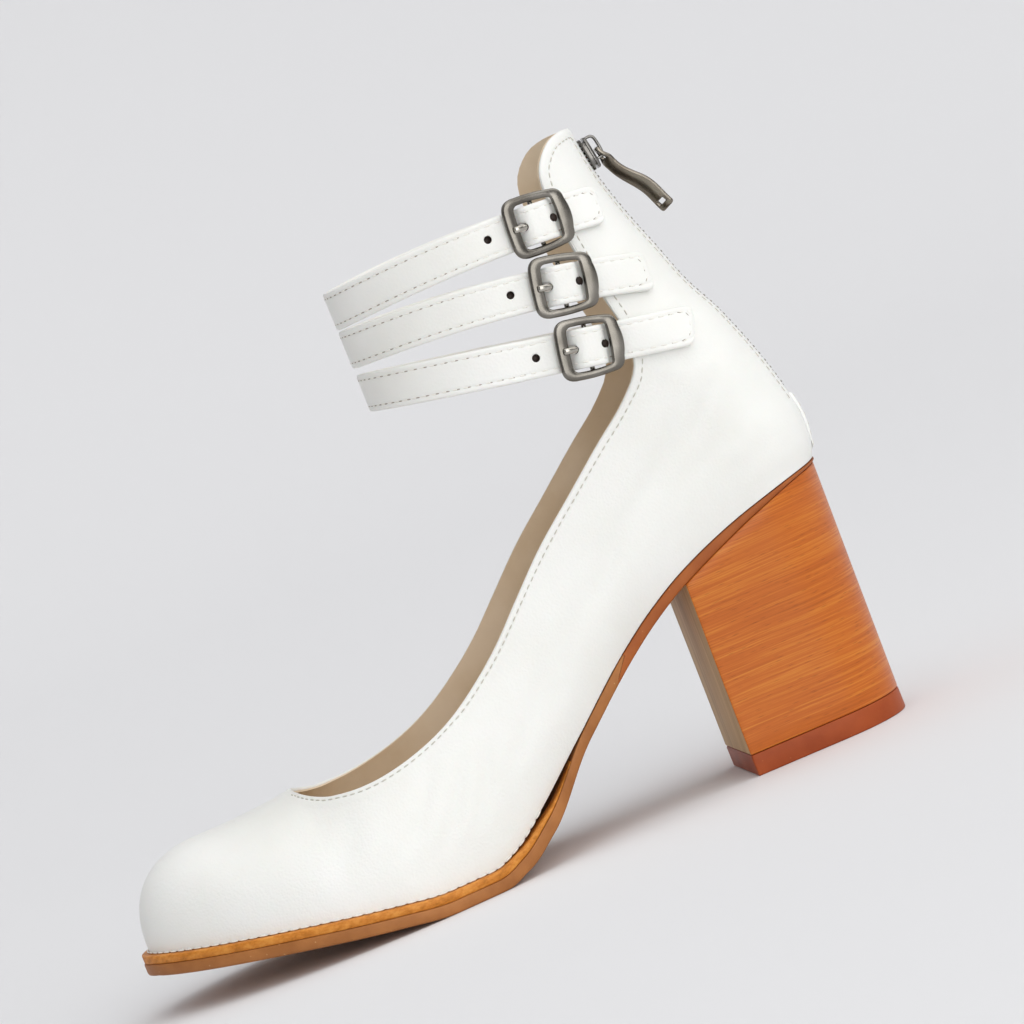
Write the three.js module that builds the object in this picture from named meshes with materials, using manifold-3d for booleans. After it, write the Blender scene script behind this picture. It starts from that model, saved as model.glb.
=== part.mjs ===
// Closed-toe pump with high back quarters, a back zip, three buckled ankle straps and a block heel.
// Left shoe: the toe points to -X, the outer side is -Y, +Z is up, all in millimetres.
// The origin is the centre of the top lift's underside, on the floor.
import * as THREE from 'three';
import { mergeVertices } from 'three/addons/utils/BufferGeometryUtils.js';
import Module from 'manifold-3d';

const wasm = await Module();
wasm.setup();

// Last and upper
const lastLength = 234;
const ballWidth = 77;
const toeSwing = 3;
const seatRise = 71.8;
const toeSpring = 13;
const vampHeight = 36.4;
const quarterHeight = 116.3;
const wall = 1.9;
const heelRound = 26;
const ankleFlare = 1.8;
const toeRound = 58;
const toeBoxRound = 27;
const flankRise = 18;
const gap = 0.3;

// Sole, welt and insole
const outsoleThickness = 3.6;
const weltThickness = 2.3;
const waistThickness = 3.2;
const weltLedge = 2.8;
const weltLap = 4.8;
const weltFadeAlong = 0.4;
const weltFullAlong = 0.49;
const weltEndAlong = 0.45;
const seatLedge = 0.3;
const toeFlat = 0.15;
const spliceAlong = 0.335;
const spliceSlant = 5;
const insoleThickness = 1.6;

// Heel
const topLiftLength = 49.6;
const topLiftWidth = 45;
const topLiftThickness = 6.4;
const seatOverhang = 3.2;
const heelBreastLean = 1;
const heelSeatInset = 0.6;
const heelHollow = 0.02;

// Straps and buckles
const strapWidth = 11.4;
const strapThickness = 1.6;
const strapReach = 86;
const strapBow = 33.2;
const strapWaistAlong = 0.312;
const strapRise = 0.8074;
const strapFan = 0.3195;
const strapBend = 0.4557;
const buckleAlong = 0.2278;
const buckleGap = 0.5;
const buckleLength = 19;
const buckleFrontHeight = 18.4;
const buckleRearHeight = 16;
const buckleBar = 3.6;
const buckleRail = 2.5;
const buckleDepth = 2;
const buckleBarRadius = 0.7;
const pinSink = 1.5;
const eyeRadius = 1.7;
const holeWidth = 2.6;
const holePitch = 9.95;
const pinHoleX = -5.45;
const pinSlotStart = -5.8;
const pinSlotEnd = -1.1;
const puffPower = 3.2;
const prongWidth = 1.7;
const prongThickness = 1.3;
const prongTipInset = 1.7;
const barClearance = 1.1;
const tabWidth = 8;
const tabThickness = 1;
const tabLap = 8;
const tabClearance = 1.4;
const medialLap = 13;
const tailEndShare = 0.62;
const holeCutDepth = 12;
const strapStep = 3.4;
const strapFineStep = 1.3;
const sideSteps = 12;
const frontSteps = 20;

// Zip and back strip
const zipRise = 20.2;
const zipInset = 3.1;
const tapeSink = 1.3;
const teethSink = 0.2;
const slotWidth = 5.2;
const teethWidth = 3.4;
const tapeWidth = 13;
const tapeThickness = 0.8;
const sliderLength = 10;
const sliderWidth = 7.6;
const sliderThickness = 2.6;
const sliderDrop = 6.5;
const sliderLift = 0.4;
const hingeRise = 1.4;
const bridgeRadius = 2.1;
const bridgeHole = 1.1;
const bridgeWidth = 2;
const pullBend = 1;
const pullSlotLength = 5;
const pullSlotWidth = 2.2;
const pullSlotInset = 5.5;
const pullLength = 27;
const pullWidth = 5.6;
const pullThickness = 1.2;
const pullLean = 30;
const backStripWidth = 9;
const backStripThickness = 1;
const backStripInset = 2;

const backX = topLiftLength / 2 + seatOverhang;
const toeX = backX - lastLength;
const ballHeight = outsoleThickness + weltThickness + 2 * gap;

// Rise of the feather line: share of seatRise behind the ball and of toeSpring before it.
const featherRows = [
  { along: 0, rise: 1, spring: 0 },
  { along: 0.046, rise: 0.978, spring: 0 },
  { along: 0.105, rise: 0.934, spring: 0 },
  { along: 0.16, rise: 0.878, spring: 0 },
  { along: 0.22, rise: 0.798, spring: 0 },
  { along: 0.273, rise: 0.703, spring: 0 },
  { along: 0.33, rise: 0.575, spring: 0 },
  { along: 0.421, rise: 0.333, spring: 0 },
  { along: 0.497, rise: 0.135, spring: 0 },
  { along: 0.542, rise: 0.038, spring: 0 },
  { along: 0.578, rise: 0, spring: 0 },
  { along: 0.635, rise: 0, spring: 0 },
  { along: 0.7, rise: 0, spring: 0.15 },
  { along: 0.82, rise: 0, spring: 0.5 },
  { along: 1, rise: 0, spring: 1 },
];

// Half widths of the last: on the feather line and a finger's breadth above it, as shares of ballWidth.
const widthRows = [
  { along: 0, outerSole: 0.322, innerSole: 0.322, outerBody: 0.352, innerBody: 0.352 },
  { along: 0.16, outerSole: 0.322, innerSole: 0.322, outerBody: 0.36, innerBody: 0.36 },
  { along: 0.29, outerSole: 0.31, innerSole: 0.296, outerBody: 0.374, innerBody: 0.368 },
  { along: 0.42, outerSole: 0.336, innerSole: 0.284, outerBody: 0.394, innerBody: 0.377 },
  { along: 0.504, outerSole: 0.388, innerSole: 0.318, outerBody: 0.427, innerBody: 0.409 },
  { along: 0.59, outerSole: 0.458, innerSole: 0.392, outerBody: 0.473, innerBody: 0.454 },
  { along: 0.697, outerSole: 0.5, innerSole: 0.474, outerBody: 0.506, innerBody: 0.497 },
  { along: 0.76, outerSole: 0.494, innerSole: 0.487, outerBody: 0.499, innerBody: 0.499 },
  { along: 0.88, outerSole: 0.478, innerSole: 0.487, outerBody: 0.484, innerBody: 0.495 },
  { along: 1, outerSole: 0.46, innerSole: 0.48, outerBody: 0.466, innerBody: 0.486 },
];

// Height of the instep ridge over the feather line, as a share of vampHeight.
const ridgeRows = [
  { along: 0, height: 12.1 },
  { along: 0.12, height: 11.3 },
  { along: 0.205, height: 8.8 },
  { along: 0.29, height: 5.7 },
  { along: 0.376, height: 3.9 },
  { along: 0.466, height: 3.13 },
  { along: 0.547, height: 2.63 },
  { along: 0.603, height: 2.01 },
  { along: 0.65, height: 1.665 },
  { along: 0.692, height: 1.365 },
  { along: 0.731, height: 1.113 },
  { along: 0.748, height: 1.038 },
  { along: 0.761, height: 1 },
  { along: 0.833, height: 0.878 },
  { along: 0.906, height: 0.8 },
  { along: 1, height: 0.74 },
];

// Back line of the quarters: forward lean at a height over the seat, both as shares of quarterHeight.
const backRows = [
  { up: -0.7, forward: 0 },
  { up: 0, forward: 0 },
  { up: 0.03, forward: -0.013 },
  { up: 0.1, forward: -0.016 },
  { up: 0.2, forward: 0.002 },
  { up: 0.423, forward: 0.0757 },
  { up: 0.533, forward: 0.129 },
  { up: 0.643, forward: 0.168 },
  { up: 0.752, forward: 0.207 },
  { up: 0.848, forward: 0.235 },
  { up: 0.92, forward: 0.249 },
  { up: 1.1, forward: 0.27 },
];

// Top edge of the quarter, from the tab at the back to the side of the throat: inset from the back line
// as a share of lastLength, and rise over the feather line below it as a share of quarterHeight.
const edgeRows = [
  { inset: 0.0005, rise: 1.05 },
  { inset: 0.0195, rise: 1.062 },
  { inset: 0.0424, rise: 1.063 },
  { inset: 0.0683, rise: 1.034 },
  { inset: 0.0793, rise: 0.991 },
  { inset: 0.0956, rise: 0.847 },
  { inset: 0.1111, rise: 0.674 },
  { inset: 0.1227, rise: 0.575 },
  { inset: 0.1494, rise: 0.483 },
  { inset: 0.1895, rise: 0.44 },
  { inset: 0.2554, rise: 0.414 },
  { inset: 0.3223, rise: 0.4 },
  { inset: 0.3816, rise: 0.4 },
  { inset: 0.425, rise: 0.39 },
  { inset: 0.467, rise: 0.379 },
  { inset: 0.51, rise: 0.376 },
  { inset: 0.55, rise: 0.37 },
  { inset: 0.603, rise: 0.34 },
];
const throatJoinAlong = 0.632;
const throatAlong = 0.761;
const throatOpen = 0.86;
const archPower = 2.3;
const toePower = 1.9;
const toeBoxPower = 2.35;
const heelPower = 2.2;
const swingStart = 0.68;
const flareStart = 0.4;
const flareFull = 0.15;
const heelSoftening = 0.04;

// Ribs of the upper: how far along the top edge and along the feather line each rib's ends lie.
const ribRows = [
  { rib: 0, edge: 0, foot: 0 },
  { rib: 0.04, edge: 0.01, foot: 0.003 },
  { rib: 0.09, edge: 0.035, foot: 0.014 },
  { rib: 0.15, edge: 0.075, foot: 0.035 },
  { rib: 0.22, edge: 0.13, foot: 0.065 },
  { rib: 0.33, edge: 0.25, foot: 0.12 },
  { rib: 0.45, edge: 0.4, foot: 0.2 },
  { rib: 0.6, edge: 0.6, foot: 0.34 },
  { rib: 0.8, edge: 0.82, foot: 0.53 },
  { rib: 1, edge: 1, foot: 0.668 },
];
const throatFoot = 0.79;
const edgeRibs = 26;
const throatRibs = 7;
const ridgeRibs = 12;
const upperRows = 12;
const outsoleStations = 42;
const seatStations = 16;
const weltStations = 34;
const insoleStations = 34;
const heelLevels = 4;
const heelSides = 28;
const zipStations = 18;
const pullStations = 14;

const colours = {
  leather: [0xf0f0ec, 0.5, 0],
  lining: [0xd9c7ae, 0.7, 0],
  welt: [0xc98a3b, 0.6, 0],
  outsole: [0x8e5a36, 0.55, 0],
  seatSole: [0xa55f32, 0.55, 0],
  heelWood: [0xcf7b33, 0.4, 0],
  topLift: [0x9e4f2c, 0.6, 0],
  buckleMetal: [0x6e6a62, 0.35, 1],
  zipMetal: [0x8a857a, 0.35, 1],
};

const shoe = new THREE.Group();

function addPiece(name, geometry, colour) {
  const [color, roughness, metalness] = colour;
  const mesh = new THREE.Mesh(geometry, new THREE.MeshStandardMaterial({ color, roughness, metalness }));
  mesh.name = name;
  shoe.add(mesh);
}

// Reads one column of a table as a smooth curve that doesn't overshoot its rows.
function smoothColumn(rows, input, output) {
  const xs = rows.map((row) => row[input]);
  const ys = rows.map((row) => row[output]);
  const steps = xs.slice(1).map((x, i) => (ys[i + 1] - ys[i]) / (x - xs[i]));
  const slopes = xs.map((x, i) => {
    if (i === 0 || i === xs.length - 1) {
      return steps[Math.min(i, steps.length - 1)];
    }
    const before = steps[i - 1];
    const after = steps[i];
    return before * after > 0 ? (2 * before * after) / (before + after) : 0;
  });
  return (x) => {
    const at = THREE.MathUtils.clamp(x, xs[0], xs[xs.length - 1]);
    let i = 0;
    while (i < xs.length - 2 && at > xs[i + 1]) {
      i += 1;
    }
    const span = xs[i + 1] - xs[i];
    const t = (at - xs[i]) / span;
    const s = 1 - t;
    return ys[i] * s * s * (1 + 2 * t) + slopes[i] * span * s * s * t
      + ys[i + 1] * t * t * (1 + 2 * s) - slopes[i + 1] * span * t * t * s;
  };
}

// A rounded rise from 0 to 1 over a reach, as on an ellipse.
function roundedRise(distance, reach, power) {
  const left = 1 - THREE.MathUtils.clamp(distance / reach, 0, 1);
  return Math.pow(1 - Math.pow(left, power), 1 / power);
}

const riseAt = smoothColumn(featherRows, 'along', 'rise');
const springAt = smoothColumn(featherRows, 'along', 'spring');
const ridgeAt = smoothColumn(ridgeRows, 'along', 'height');
const forwardAt = smoothColumn(backRows, 'up', 'forward');
const edgeAt = smoothColumn(ribRows, 'rib', 'edge');
const footAt = smoothColumn(ribRows, 'rib', 'foot');
const soleWidthAt = {
  outer: smoothColumn(widthRows, 'along', 'outerSole'),
  inner: smoothColumn(widthRows, 'along', 'innerSole'),
};
const bodyWidthAt = {
  outer: smoothColumn(widthRows, 'along', 'outerBody'),
  inner: smoothColumn(widthRows, 'along', 'innerBody'),
};
const sideSign = { outer: -1, inner: 1 };

const seatHeight = ballHeight + seatRise;
const alongOf = (x) => (backX - x) / lastLength;
const xOf = (along) => backX - along * lastLength;
const featherHeight = (x) => ballHeight + seatRise * riseAt(alongOf(x)) + toeSpring * springAt(alongOf(x));
const toeClosing = (x) => roundedRise(x - toeX, toeRound, toePower);
const ridgeRise = (x) => vampHeight * ridgeAt(alongOf(x)) * roundedRise(x - toeX, toeBoxRound, toeBoxPower);
const swing = (x) => toeSwing * THREE.MathUtils.smoothstep(alongOf(x), swingStart, 1);
const backLineX = (z) => backX - quarterHeight * forwardAt((z - seatHeight) / quarterHeight);

// Half width of the feather line's outline in plan.
function featherHalfWidth(x, side) {
  const heelClosing = roundedRise(backX - x, heelRound, 2);
  return ballWidth * soleWidthAt[side](alongOf(x)) * toeClosing(x) * heelClosing;
}

// Outer face of the upper on one side: y at a place in the side view.
function upperFace(x, z, side) {
  const along = alongOf(x);
  const height = z - featherHeight(x);
  const flank = 1 - Math.pow(1 - THREE.MathUtils.clamp(height / flankRise, 0, 1), 2);
  const flare = ankleFlare * THREE.MathUtils.smoothstep(height, flankRise, 3 * flankRise)
    * THREE.MathUtils.smoothstep(-along, -flareStart, -flareFull);
  const sole = ballWidth * soleWidthAt[side](along);
  const body = ballWidth * bodyWidthAt[side](along) + flare;
  const share = THREE.MathUtils.clamp(height / ridgeRise(x), 0, 1);
  const arch = Math.pow(1 - Math.pow(share, archPower), 1 / archPower);
  const back = roundedRise(backLineX(z) - x, heelRound + heelSoftening * height, 2);
  return swing(x) + sideSign[side] * (sole + (body - sole) * flank) * toeClosing(x) * back * arch;
}

// One closed solid from rings of points: faces between rings and a cap over each end. A section that
// bends inwards is given in its own plane, so that its caps follow it.
function loftGeometry(rings, section = null) {
  const points = rings.flat();
  const count = rings[0].length;
  const faces = [];
  for (let r = 0; r < rings.length - 1; r += 1) {
    for (let i = 0; i < count; i += 1) {
      const next = (i + 1) % count;
      const a = r * count + i;
      const b = r * count + next;
      faces.push(a, b, b + count, a, b + count, a + count);
    }
  }
  const lastRing = (rings.length - 1) * count;
  const fan = Array.from({ length: count - 2 }, (_, i) => [0, i + 1, i + 2]);
  const contour = section && section.map(([a, b]) => new THREE.Vector2(a, b));
  const caps = contour ? THREE.ShapeUtils.triangulateShape(contour, []) : fan;
  const clockwise = contour && THREE.ShapeUtils.isClockWise(contour);
  for (const [a, b, c] of caps) {
    const [second, third] = clockwise ? [c, b] : [b, c];
    faces.push(a, third, second);
    faces.push(lastRing + a, lastRing + second, lastRing + third);
  }
  return meshGeometry(points, facingOut(points, faces));
}

// Turns every face of a closed mesh round if they point inwards.
function facingOut(points, faces) {
  const cross = new THREE.Vector3();
  let volume = 0;
  for (let i = 0; i < faces.length; i += 3) {
    volume += cross.crossVectors(points[faces[i + 1]], points[faces[i + 2]]).dot(points[faces[i]]);
  }
  return volume < 0 ? faces.slice().reverse() : faces;
}

function meshGeometry(points, faces) {
  const geometry = new THREE.BufferGeometry();
  const positions = points.flatMap((point) => [point.x, point.y, point.z]);
  geometry.setAttribute('position', new THREE.Float32BufferAttribute(positions, 3));
  geometry.setIndex(faces);
  return geometry;
}

function toManifold(source) {
  const geometry = source.clone();
  geometry.deleteAttribute('normal');
  geometry.deleteAttribute('uv');
  const merged = mergeVertices(geometry, 1e-4);
  return new wasm.Manifold(new wasm.Mesh({
    numProp: 3,
    vertProperties: new Float32Array(merged.attributes.position.array),
    triVerts: new Uint32Array(merged.index.array),
  }));
}

function fromManifold(manifold) {
  const mesh = manifold.getMesh();
  const geometry = new THREE.BufferGeometry();
  geometry.setAttribute('position', new THREE.Float32BufferAttribute(mesh.vertProperties, 3));
  geometry.setIndex(Array.from(mesh.triVerts));
  return geometry;
}

// Gives an open sheet its wall: an inner sheet along the normals and a rim over every open edge.
function thickenSheet(points, faces, thickness) {
  const sheet = meshGeometry(points, faces);
  sheet.computeVertexNormals();
  const normals = sheet.attributes.normal;
  const inner = points.map((point, i) => new THREE.Vector3(
    point.x - thickness * normals.getX(i),
    point.y - thickness * normals.getY(i),
    point.z - thickness * normals.getZ(i),
  ));
  const edges = new Map();
  for (let i = 0; i < faces.length; i += 3) {
    for (let k = 0; k < 3; k += 1) {
      const a = faces[i + k];
      const b = faces[i + ((k + 1) % 3)];
      edges.set(`${a},${b}`, [a, b]);
    }
  }
  const count = points.length;
  const all = faces.slice();
  for (let i = 0; i < faces.length; i += 3) {
    all.push(count + faces[i], count + faces[i + 2], count + faces[i + 1]);
  }
  for (const [a, b] of edges.values()) {
    if (!edges.has(`${b},${a}`)) {
      all.push(b, a, count + a, b, count + a, count + b);
    }
  }
  return meshGeometry(points.concat(inner), all);
}

// Upper
function edgePoint({ inset, rise }) {
  let x = backX;
  let z = 0;
  for (let turn = 0; turn < 12; turn += 1) {
    z = featherHeight(x) + quarterHeight * rise;
    x = backLineX(z) - lastLength * inset;
  }
  return new THREE.Vector3(x, 0, z);
}
const edgeCurve = new THREE.CatmullRomCurve3(edgeRows.map(edgePoint), false, 'centripetal');

// Heights of the zip in the back seam.
const zipBottom = seatHeight + zipRise;
const zipTop = edgePoint(edgeRows[0]).z - zipInset;
const sliderHeight = zipTop - sliderDrop;

function throatPoint(share) {
  const x = xOf(throatAlong + (throatJoinAlong - throatAlong) * share * share);
  const open = throatOpen * roundedRise(share * share, 1, 2);
  const arch = Math.pow(1 - Math.pow(open, archPower), 1 / archPower);
  return new THREE.Vector3(x, 0, featherHeight(x) + ridgeRise(x) * arch);
}

// The ribs run from the back seam round to the toe, each from the feather line to the top edge.
function upperRibs() {
  const ribs = [];
  for (let i = 0; i <= edgeRibs; i += 1) {
    const share = i / edgeRibs;
    const top = edgeCurve.getPointAt(edgeAt(share));
    ribs.push({ footX: xOf(footAt(share)), topX: top.x, topZ: top.z });
  }
  for (let i = throatRibs - 1; i >= 0; i -= 1) {
    const share = i / throatRibs;
    const top = throatPoint(share);
    const foot = throatFoot + (footAt(1) - throatFoot) * share;
    ribs.push({ footX: xOf(foot), topX: top.x, topZ: top.z });
  }
  for (let i = 1; i <= ridgeRibs; i += 1) {
    const share = 1 - Math.pow(1 - i / ridgeRibs, 2);
    const foot = xOf(throatFoot + (1 - throatFoot) * share);
    const topX = xOf(throatAlong + (1 - throatAlong) * share);
    ribs.push({ footX: foot, topX, topZ: featherHeight(topX) + ridgeRise(topX) });
  }
  return ribs;
}

function ribPoint(rib, share, side) {
  const footGap = backLineX(featherHeight(rib.footX)) - rib.footX;
  const topGap = backLineX(rib.topZ) - rib.topX;
  const topShare = THREE.MathUtils.clamp((rib.topZ - featherHeight(rib.topX)) / ridgeRise(rib.topX), 0, 1);
  const climb = Math.sin(share * Math.asin(topShare || 0));
  const inset = footGap + (topGap - footGap) * share;
  let x = rib.footX + (rib.topX - rib.footX) * share;
  let z = 0;
  for (let turn = 0; turn < 12; turn += 1) {
    z = featherHeight(x) + ridgeRise(x) * climb;
    x = THREE.MathUtils.lerp(x, backLineX(z) - inset, 0.7);
  }
  return new THREE.Vector3(x, upperFace(x, z, side), z);
}

// The back seam is open for the zip from the row that lies nearest the zip's foot, and closed under it.
function upperGeometry() {
  const ribs = upperRibs();
  const seamHeights = [];
  for (let row = 0; row <= upperRows; row += 1) {
    seamHeights.push(ribPoint(ribs[0], row / upperRows, 'outer').z);
  }
  const footGaps = seamHeights.map((z) => Math.abs(z - zipBottom));
  const slotRow = footGaps.indexOf(Math.min(...footGaps));
  const points = [];
  const shared = new Map();
  const vertex = (column, row, side) => {
    const atBack = column === 0;
    const atToe = column === ribs.length - 1;
    const onRidge = column >= ribs.length - 1 - ridgeRibs && row === upperRows;
    const point = ribPoint(ribs[column], row / upperRows, side);
    const belowZip = row < slotRow;
    const joined = (atBack && belowZip) || atToe || onRidge;
    const key = atToe ? 'toe' : `${column},${row},${joined ? 'both' : side}`;
    if (!shared.has(key)) {
      if (joined) {
        point.y = swing(point.x);
      }
      if (atBack) {
        point.z = row === slotRow ? zipBottom : point.z;
        point.x = backLineX(point.z);
        point.y = belowZip ? 0 : sideSign[side] * slotWidth / 2;
      }
      shared.set(key, points.length);
      points.push(point);
    }
    return shared.get(key);
  };
  const faces = [];
  const addFace = (a, b, c, side) => {
    if (a === b || b === c || a === c) {
      return;
    }
    faces.push(a, ...(side === 'outer' ? [b, c] : [c, b]));
  };
  for (const side of ['outer', 'inner']) {
    for (let column = 0; column < ribs.length - 1; column += 1) {
      for (let row = 0; row < upperRows; row += 1) {
        const a = vertex(column, row, side);
        const b = vertex(column + 1, row, side);
        const c = vertex(column + 1, row + 1, side);
        const d = vertex(column, row + 1, side);
        addFace(a, c, b, side);
        addFace(a, d, c, side);
      }
    }
  }
  return thickenSheet(points, faces, wall);
}
addPiece('upper', upperGeometry(), colours.leather);

// Outline in plan of a sole part that stands out past the feather line by a ledge, or lies within it.
function outlineY(x, side, ledge) {
  const along = alongOf(x);
  const toe = roundedRise(x - toeX + ledge, toeRound + ledge, toePower);
  const heel = roundedRise(backX + ledge - x, heelRound + ledge, 2);
  return swing(x) + sideSign[side] * (ballWidth * soleWidthAt[side](along) + ledge) * toe * heel;
}

// How much a thickness square to the feather line grows when it is measured straight down.
function uprightFactor(x) {
  const slope = (featherHeight(x + 1) - featherHeight(x - 1)) / 2;
  return Math.sqrt(1 + slope * slope);
}

const forepart = (x) => THREE.MathUtils.smoothstep(alongOf(x), weltFadeAlong, weltFullAlong);
const weltRoom = (x) => (weltThickness + gap) * forepart(x);
const soleThickness = (x) => THREE.MathUtils.lerp(waistThickness, outsoleThickness, forepart(x));
const soleTop = (x) => featherHeight(x) - (gap + weltRoom(x)) * uprightFactor(x);
const soleBottom = (x) => soleTop(x) - soleThickness(x) * uprightFactor(x);
const soleLedge = (x) => THREE.MathUtils.lerp(seatLedge, weltLedge, forepart(x));

function plateRing(x, ledge, top, bottom, slant = 0) {
  const corner = (side, height, atX) => new THREE.Vector3(atX, outlineY(atX, side, ledge), height(atX));
  return [
    corner('outer', top, x + slant),
    corner('outer', bottom, x - slant),
    corner('inner', bottom, x - slant),
    corner('inner', top, x + slant),
  ];
}

// Outsole and seat sole meet at a slanting splice in the waist.
function outsoleGeometry() {
  const spliceX = xOf(spliceAlong) - gap / 2;
  const rings = [];
  for (let i = 0; i <= outsoleStations; i += 1) {
    const share = i / outsoleStations;
    const x = THREE.MathUtils.lerp(spliceX, toeX - weltLedge + toeFlat, 1 - Math.pow(1 - share, 2));
    rings.push(plateRing(x, soleLedge(x), soleTop, soleBottom, i === 0 ? spliceSlant / 2 : 0));
  }
  return loftGeometry(rings);
}

function seatSoleGeometry() {
  const spliceX = xOf(spliceAlong) + gap / 2;
  const rings = [];
  for (let i = 0; i <= seatStations; i += 1) {
    const share = i / seatStations;
    const x = THREE.MathUtils.lerp(spliceX, backX + seatLedge - toeFlat, 1 - Math.pow(1 - share, 2));
    rings.push(plateRing(x, soleLedge(x), soleTop, soleBottom, i === 0 ? spliceSlant / 2 : 0));
  }
  return loftGeometry(rings);
}

// The welt runs from the waist round the toe and back, between the upper and the outsole.
function weltGeometry() {
  const endX = xOf(weltEndAlong);
  const rings = [];
  for (let i = -weltStations; i <= weltStations; i += 1) {
    const side = i < 0 ? 'outer' : 'inner';
    const share = 1 - Math.pow(i / weltStations, 2);
    const outX = THREE.MathUtils.lerp(endX, toeX - weltLedge + gap, share);
    const inX = THREE.MathUtils.lerp(endX, toeX + weltLap, share);
    const outY = outlineY(outX, side, soleLedge(outX) - gap);
    const inY = outlineY(inX, side, -weltLap);
    const top = (x) => featherHeight(x) - gap * uprightFactor(x);
    const bottom = (x) => soleTop(x) + gap * uprightFactor(x);
    rings.push([
      new THREE.Vector3(outX, outY, top(outX)),
      new THREE.Vector3(outX, outY, bottom(outX)),
      new THREE.Vector3(inX, inY, bottom(inX)),
      new THREE.Vector3(inX, inY, top(inX)),
    ]);
  }
  return loftGeometry(rings);
}

function insoleGeometry() {
  const inset = wall + 3 * gap;
  const top = (x) => featherHeight(x) + insoleThickness;
  const rings = [];
  for (let i = 0; i <= insoleStations; i += 1) {
    const share = (1 - Math.cos((Math.PI * i) / insoleStations)) / 2;
    const x = THREE.MathUtils.lerp(backX - inset - toeFlat, toeX + inset + toeFlat, share);
    rings.push(plateRing(x, -inset, top, featherHeight));
  }
  return loftGeometry(rings);
}
addPiece('insole', insoleGeometry(), colours.lining);
addPiece('welt', weltGeometry(), colours.welt);
addPiece('outsole', outsoleGeometry(), colours.outsole);
addPiece('seat_sole', seatSoleGeometry(), colours.seatSole);

// Heel: flat breast, rounded back, and a top lift under it.
function heelFoot(share) {
  const side = share < 0.5 ? 'outer' : 'inner';
  const half = topLiftLength / 2;
  const x = THREE.MathUtils.lerp(-half, half, Math.sin(Math.PI * share));
  const y = sideSign[side] * (topLiftWidth / 2) * roundedRise(half - x, topLiftWidth / 2, heelPower);
  return new THREE.Vector2(x, y);
}

function heelSeat(share) {
  const side = share < 0.5 ? 'outer' : 'inner';
  const ledge = seatLedge - heelSeatInset;
  const breast = heelBreastLean - topLiftLength / 2;
  const x = THREE.MathUtils.lerp(breast, backX + ledge, Math.sin(Math.PI * share));
  return new THREE.Vector2(x, outlineY(x, side, ledge));
}

function heelGeometry() {
  const rings = [];
  const low = topLiftThickness + gap;
  for (let level = 0; level <= heelLevels; level += 1) {
    const rise = level / heelLevels;
    const ring = [];
    for (let i = 0; i <= heelSides; i += 1) {
      const foot = heelFoot(i / heelSides);
      const seat = heelSeat(i / heelSides);
      const x = THREE.MathUtils.lerp(foot.x, seat.x, rise);
      const y = THREE.MathUtils.lerp(foot.y, seat.y, rise);
      const hollow = 1 - heelHollow * Math.sin(Math.PI * rise);
      const high = soleBottom(seat.x) - gap * uprightFactor(seat.x);
      ring.push(new THREE.Vector3(x, y * hollow, THREE.MathUtils.lerp(low, high, rise)));
    }
    rings.push(ring);
  }
  return loftGeometry(rings);
}

function topLiftGeometry() {
  const ring = (z) => Array.from({ length: heelSides + 1 }, (_, i) => {
    const foot = heelFoot(i / heelSides);
    return new THREE.Vector3(foot.x, foot.y, z);
  });
  return loftGeometry([ring(0), ring(topLiftThickness)]);
}
addPiece('heel_block', heelGeometry(), colours.heelWood);
addPiece('top_lift', topLiftGeometry(), colours.topLift);

// Back strip over the closed seam between the zip and the heel seat.
function backFaceX(y, z) {
  let near = backLineX(z);
  let far = near - heelRound;
  for (let turn = 0; turn < 24; turn += 1) {
    const middle = (near + far) / 2;
    const wide = Math.abs(upperFace(middle, z, y < 0 ? 'outer' : 'inner')) > Math.abs(y);
    if (wide) {
      far = middle;
    } else {
      near = middle;
    }
  }
  return near;
}

function backStripGeometry() {
  const points = [];
  const faces = [];
  const across = 6;
  const rows = 5;
  for (let row = 0; row <= rows; row += 1) {
    const z = THREE.MathUtils.lerp(seatHeight + backStripInset, zipBottom - gap, row / rows);
    for (let i = 0; i <= across; i += 1) {
      const y = backStripWidth * (i / across - 0.5);
      points.push(new THREE.Vector3(backFaceX(y, z) + gap + backStripThickness, y, z));
    }
  }
  for (let row = 0; row < rows; row += 1) {
    for (let i = 0; i < across; i += 1) {
      const a = row * (across + 1) + i;
      const b = a + across + 1;
      faces.push(a, a + 1, b + 1, a, b + 1, b);
    }
  }
  return thickenSheet(points, faces, backStripThickness);
}
addPiece('back_strip', backStripGeometry(), colours.leather);

// Zip: teeth in the slot of the back seam, on a tape that lies inside the quarters.
function backFrame(z) {
  const down = new THREE.Vector3(backLineX(z - 1) - backLineX(z + 1), 0, -2).normalize();
  const out = new THREE.Vector3(-down.z, 0, down.x);
  return { at: new THREE.Vector3(backLineX(z), 0, z), down, out };
}

function zipGeometry() {
  const tooth = teethWidth / 2;
  const tape = tapeWidth / 2;
  const tapeFront = wall + tapeSink;
  const section = [
    [-tooth, teethSink],
    [tooth, teethSink],
    [tooth, tapeFront],
    [tape, tapeFront],
    [tape, tapeFront + tapeThickness],
    [-tape, tapeFront + tapeThickness],
    [-tape, tapeFront],
    [-tooth, tapeFront],
  ];
  const rings = [];
  for (let i = 0; i <= zipStations; i += 1) {
    const z = THREE.MathUtils.lerp(zipBottom + gap + 1, zipTop, i / zipStations);
    const frame = backFrame(z);
    rings.push(section.map(([y, depth]) => frame.at.clone().addScaledVector(frame.out, -depth).setY(y)));
  }
  return loftGeometry(rings, section);
}
addPiece('zip_chain', zipGeometry(), colours.zipMetal);

// Places a shape drawn in a plane: its first axis, its second axis and the axis that it is extruded on.
function placedExtrusion(shape, depth, basis) {
  const geometry = new THREE.ExtrudeGeometry(shape, { depth, bevelEnabled: false, curveSegments: 3 });
  geometry.translate(0, 0, -depth / 2);
  geometry.applyMatrix4(basis);
  return toManifold(geometry);
}

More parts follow.
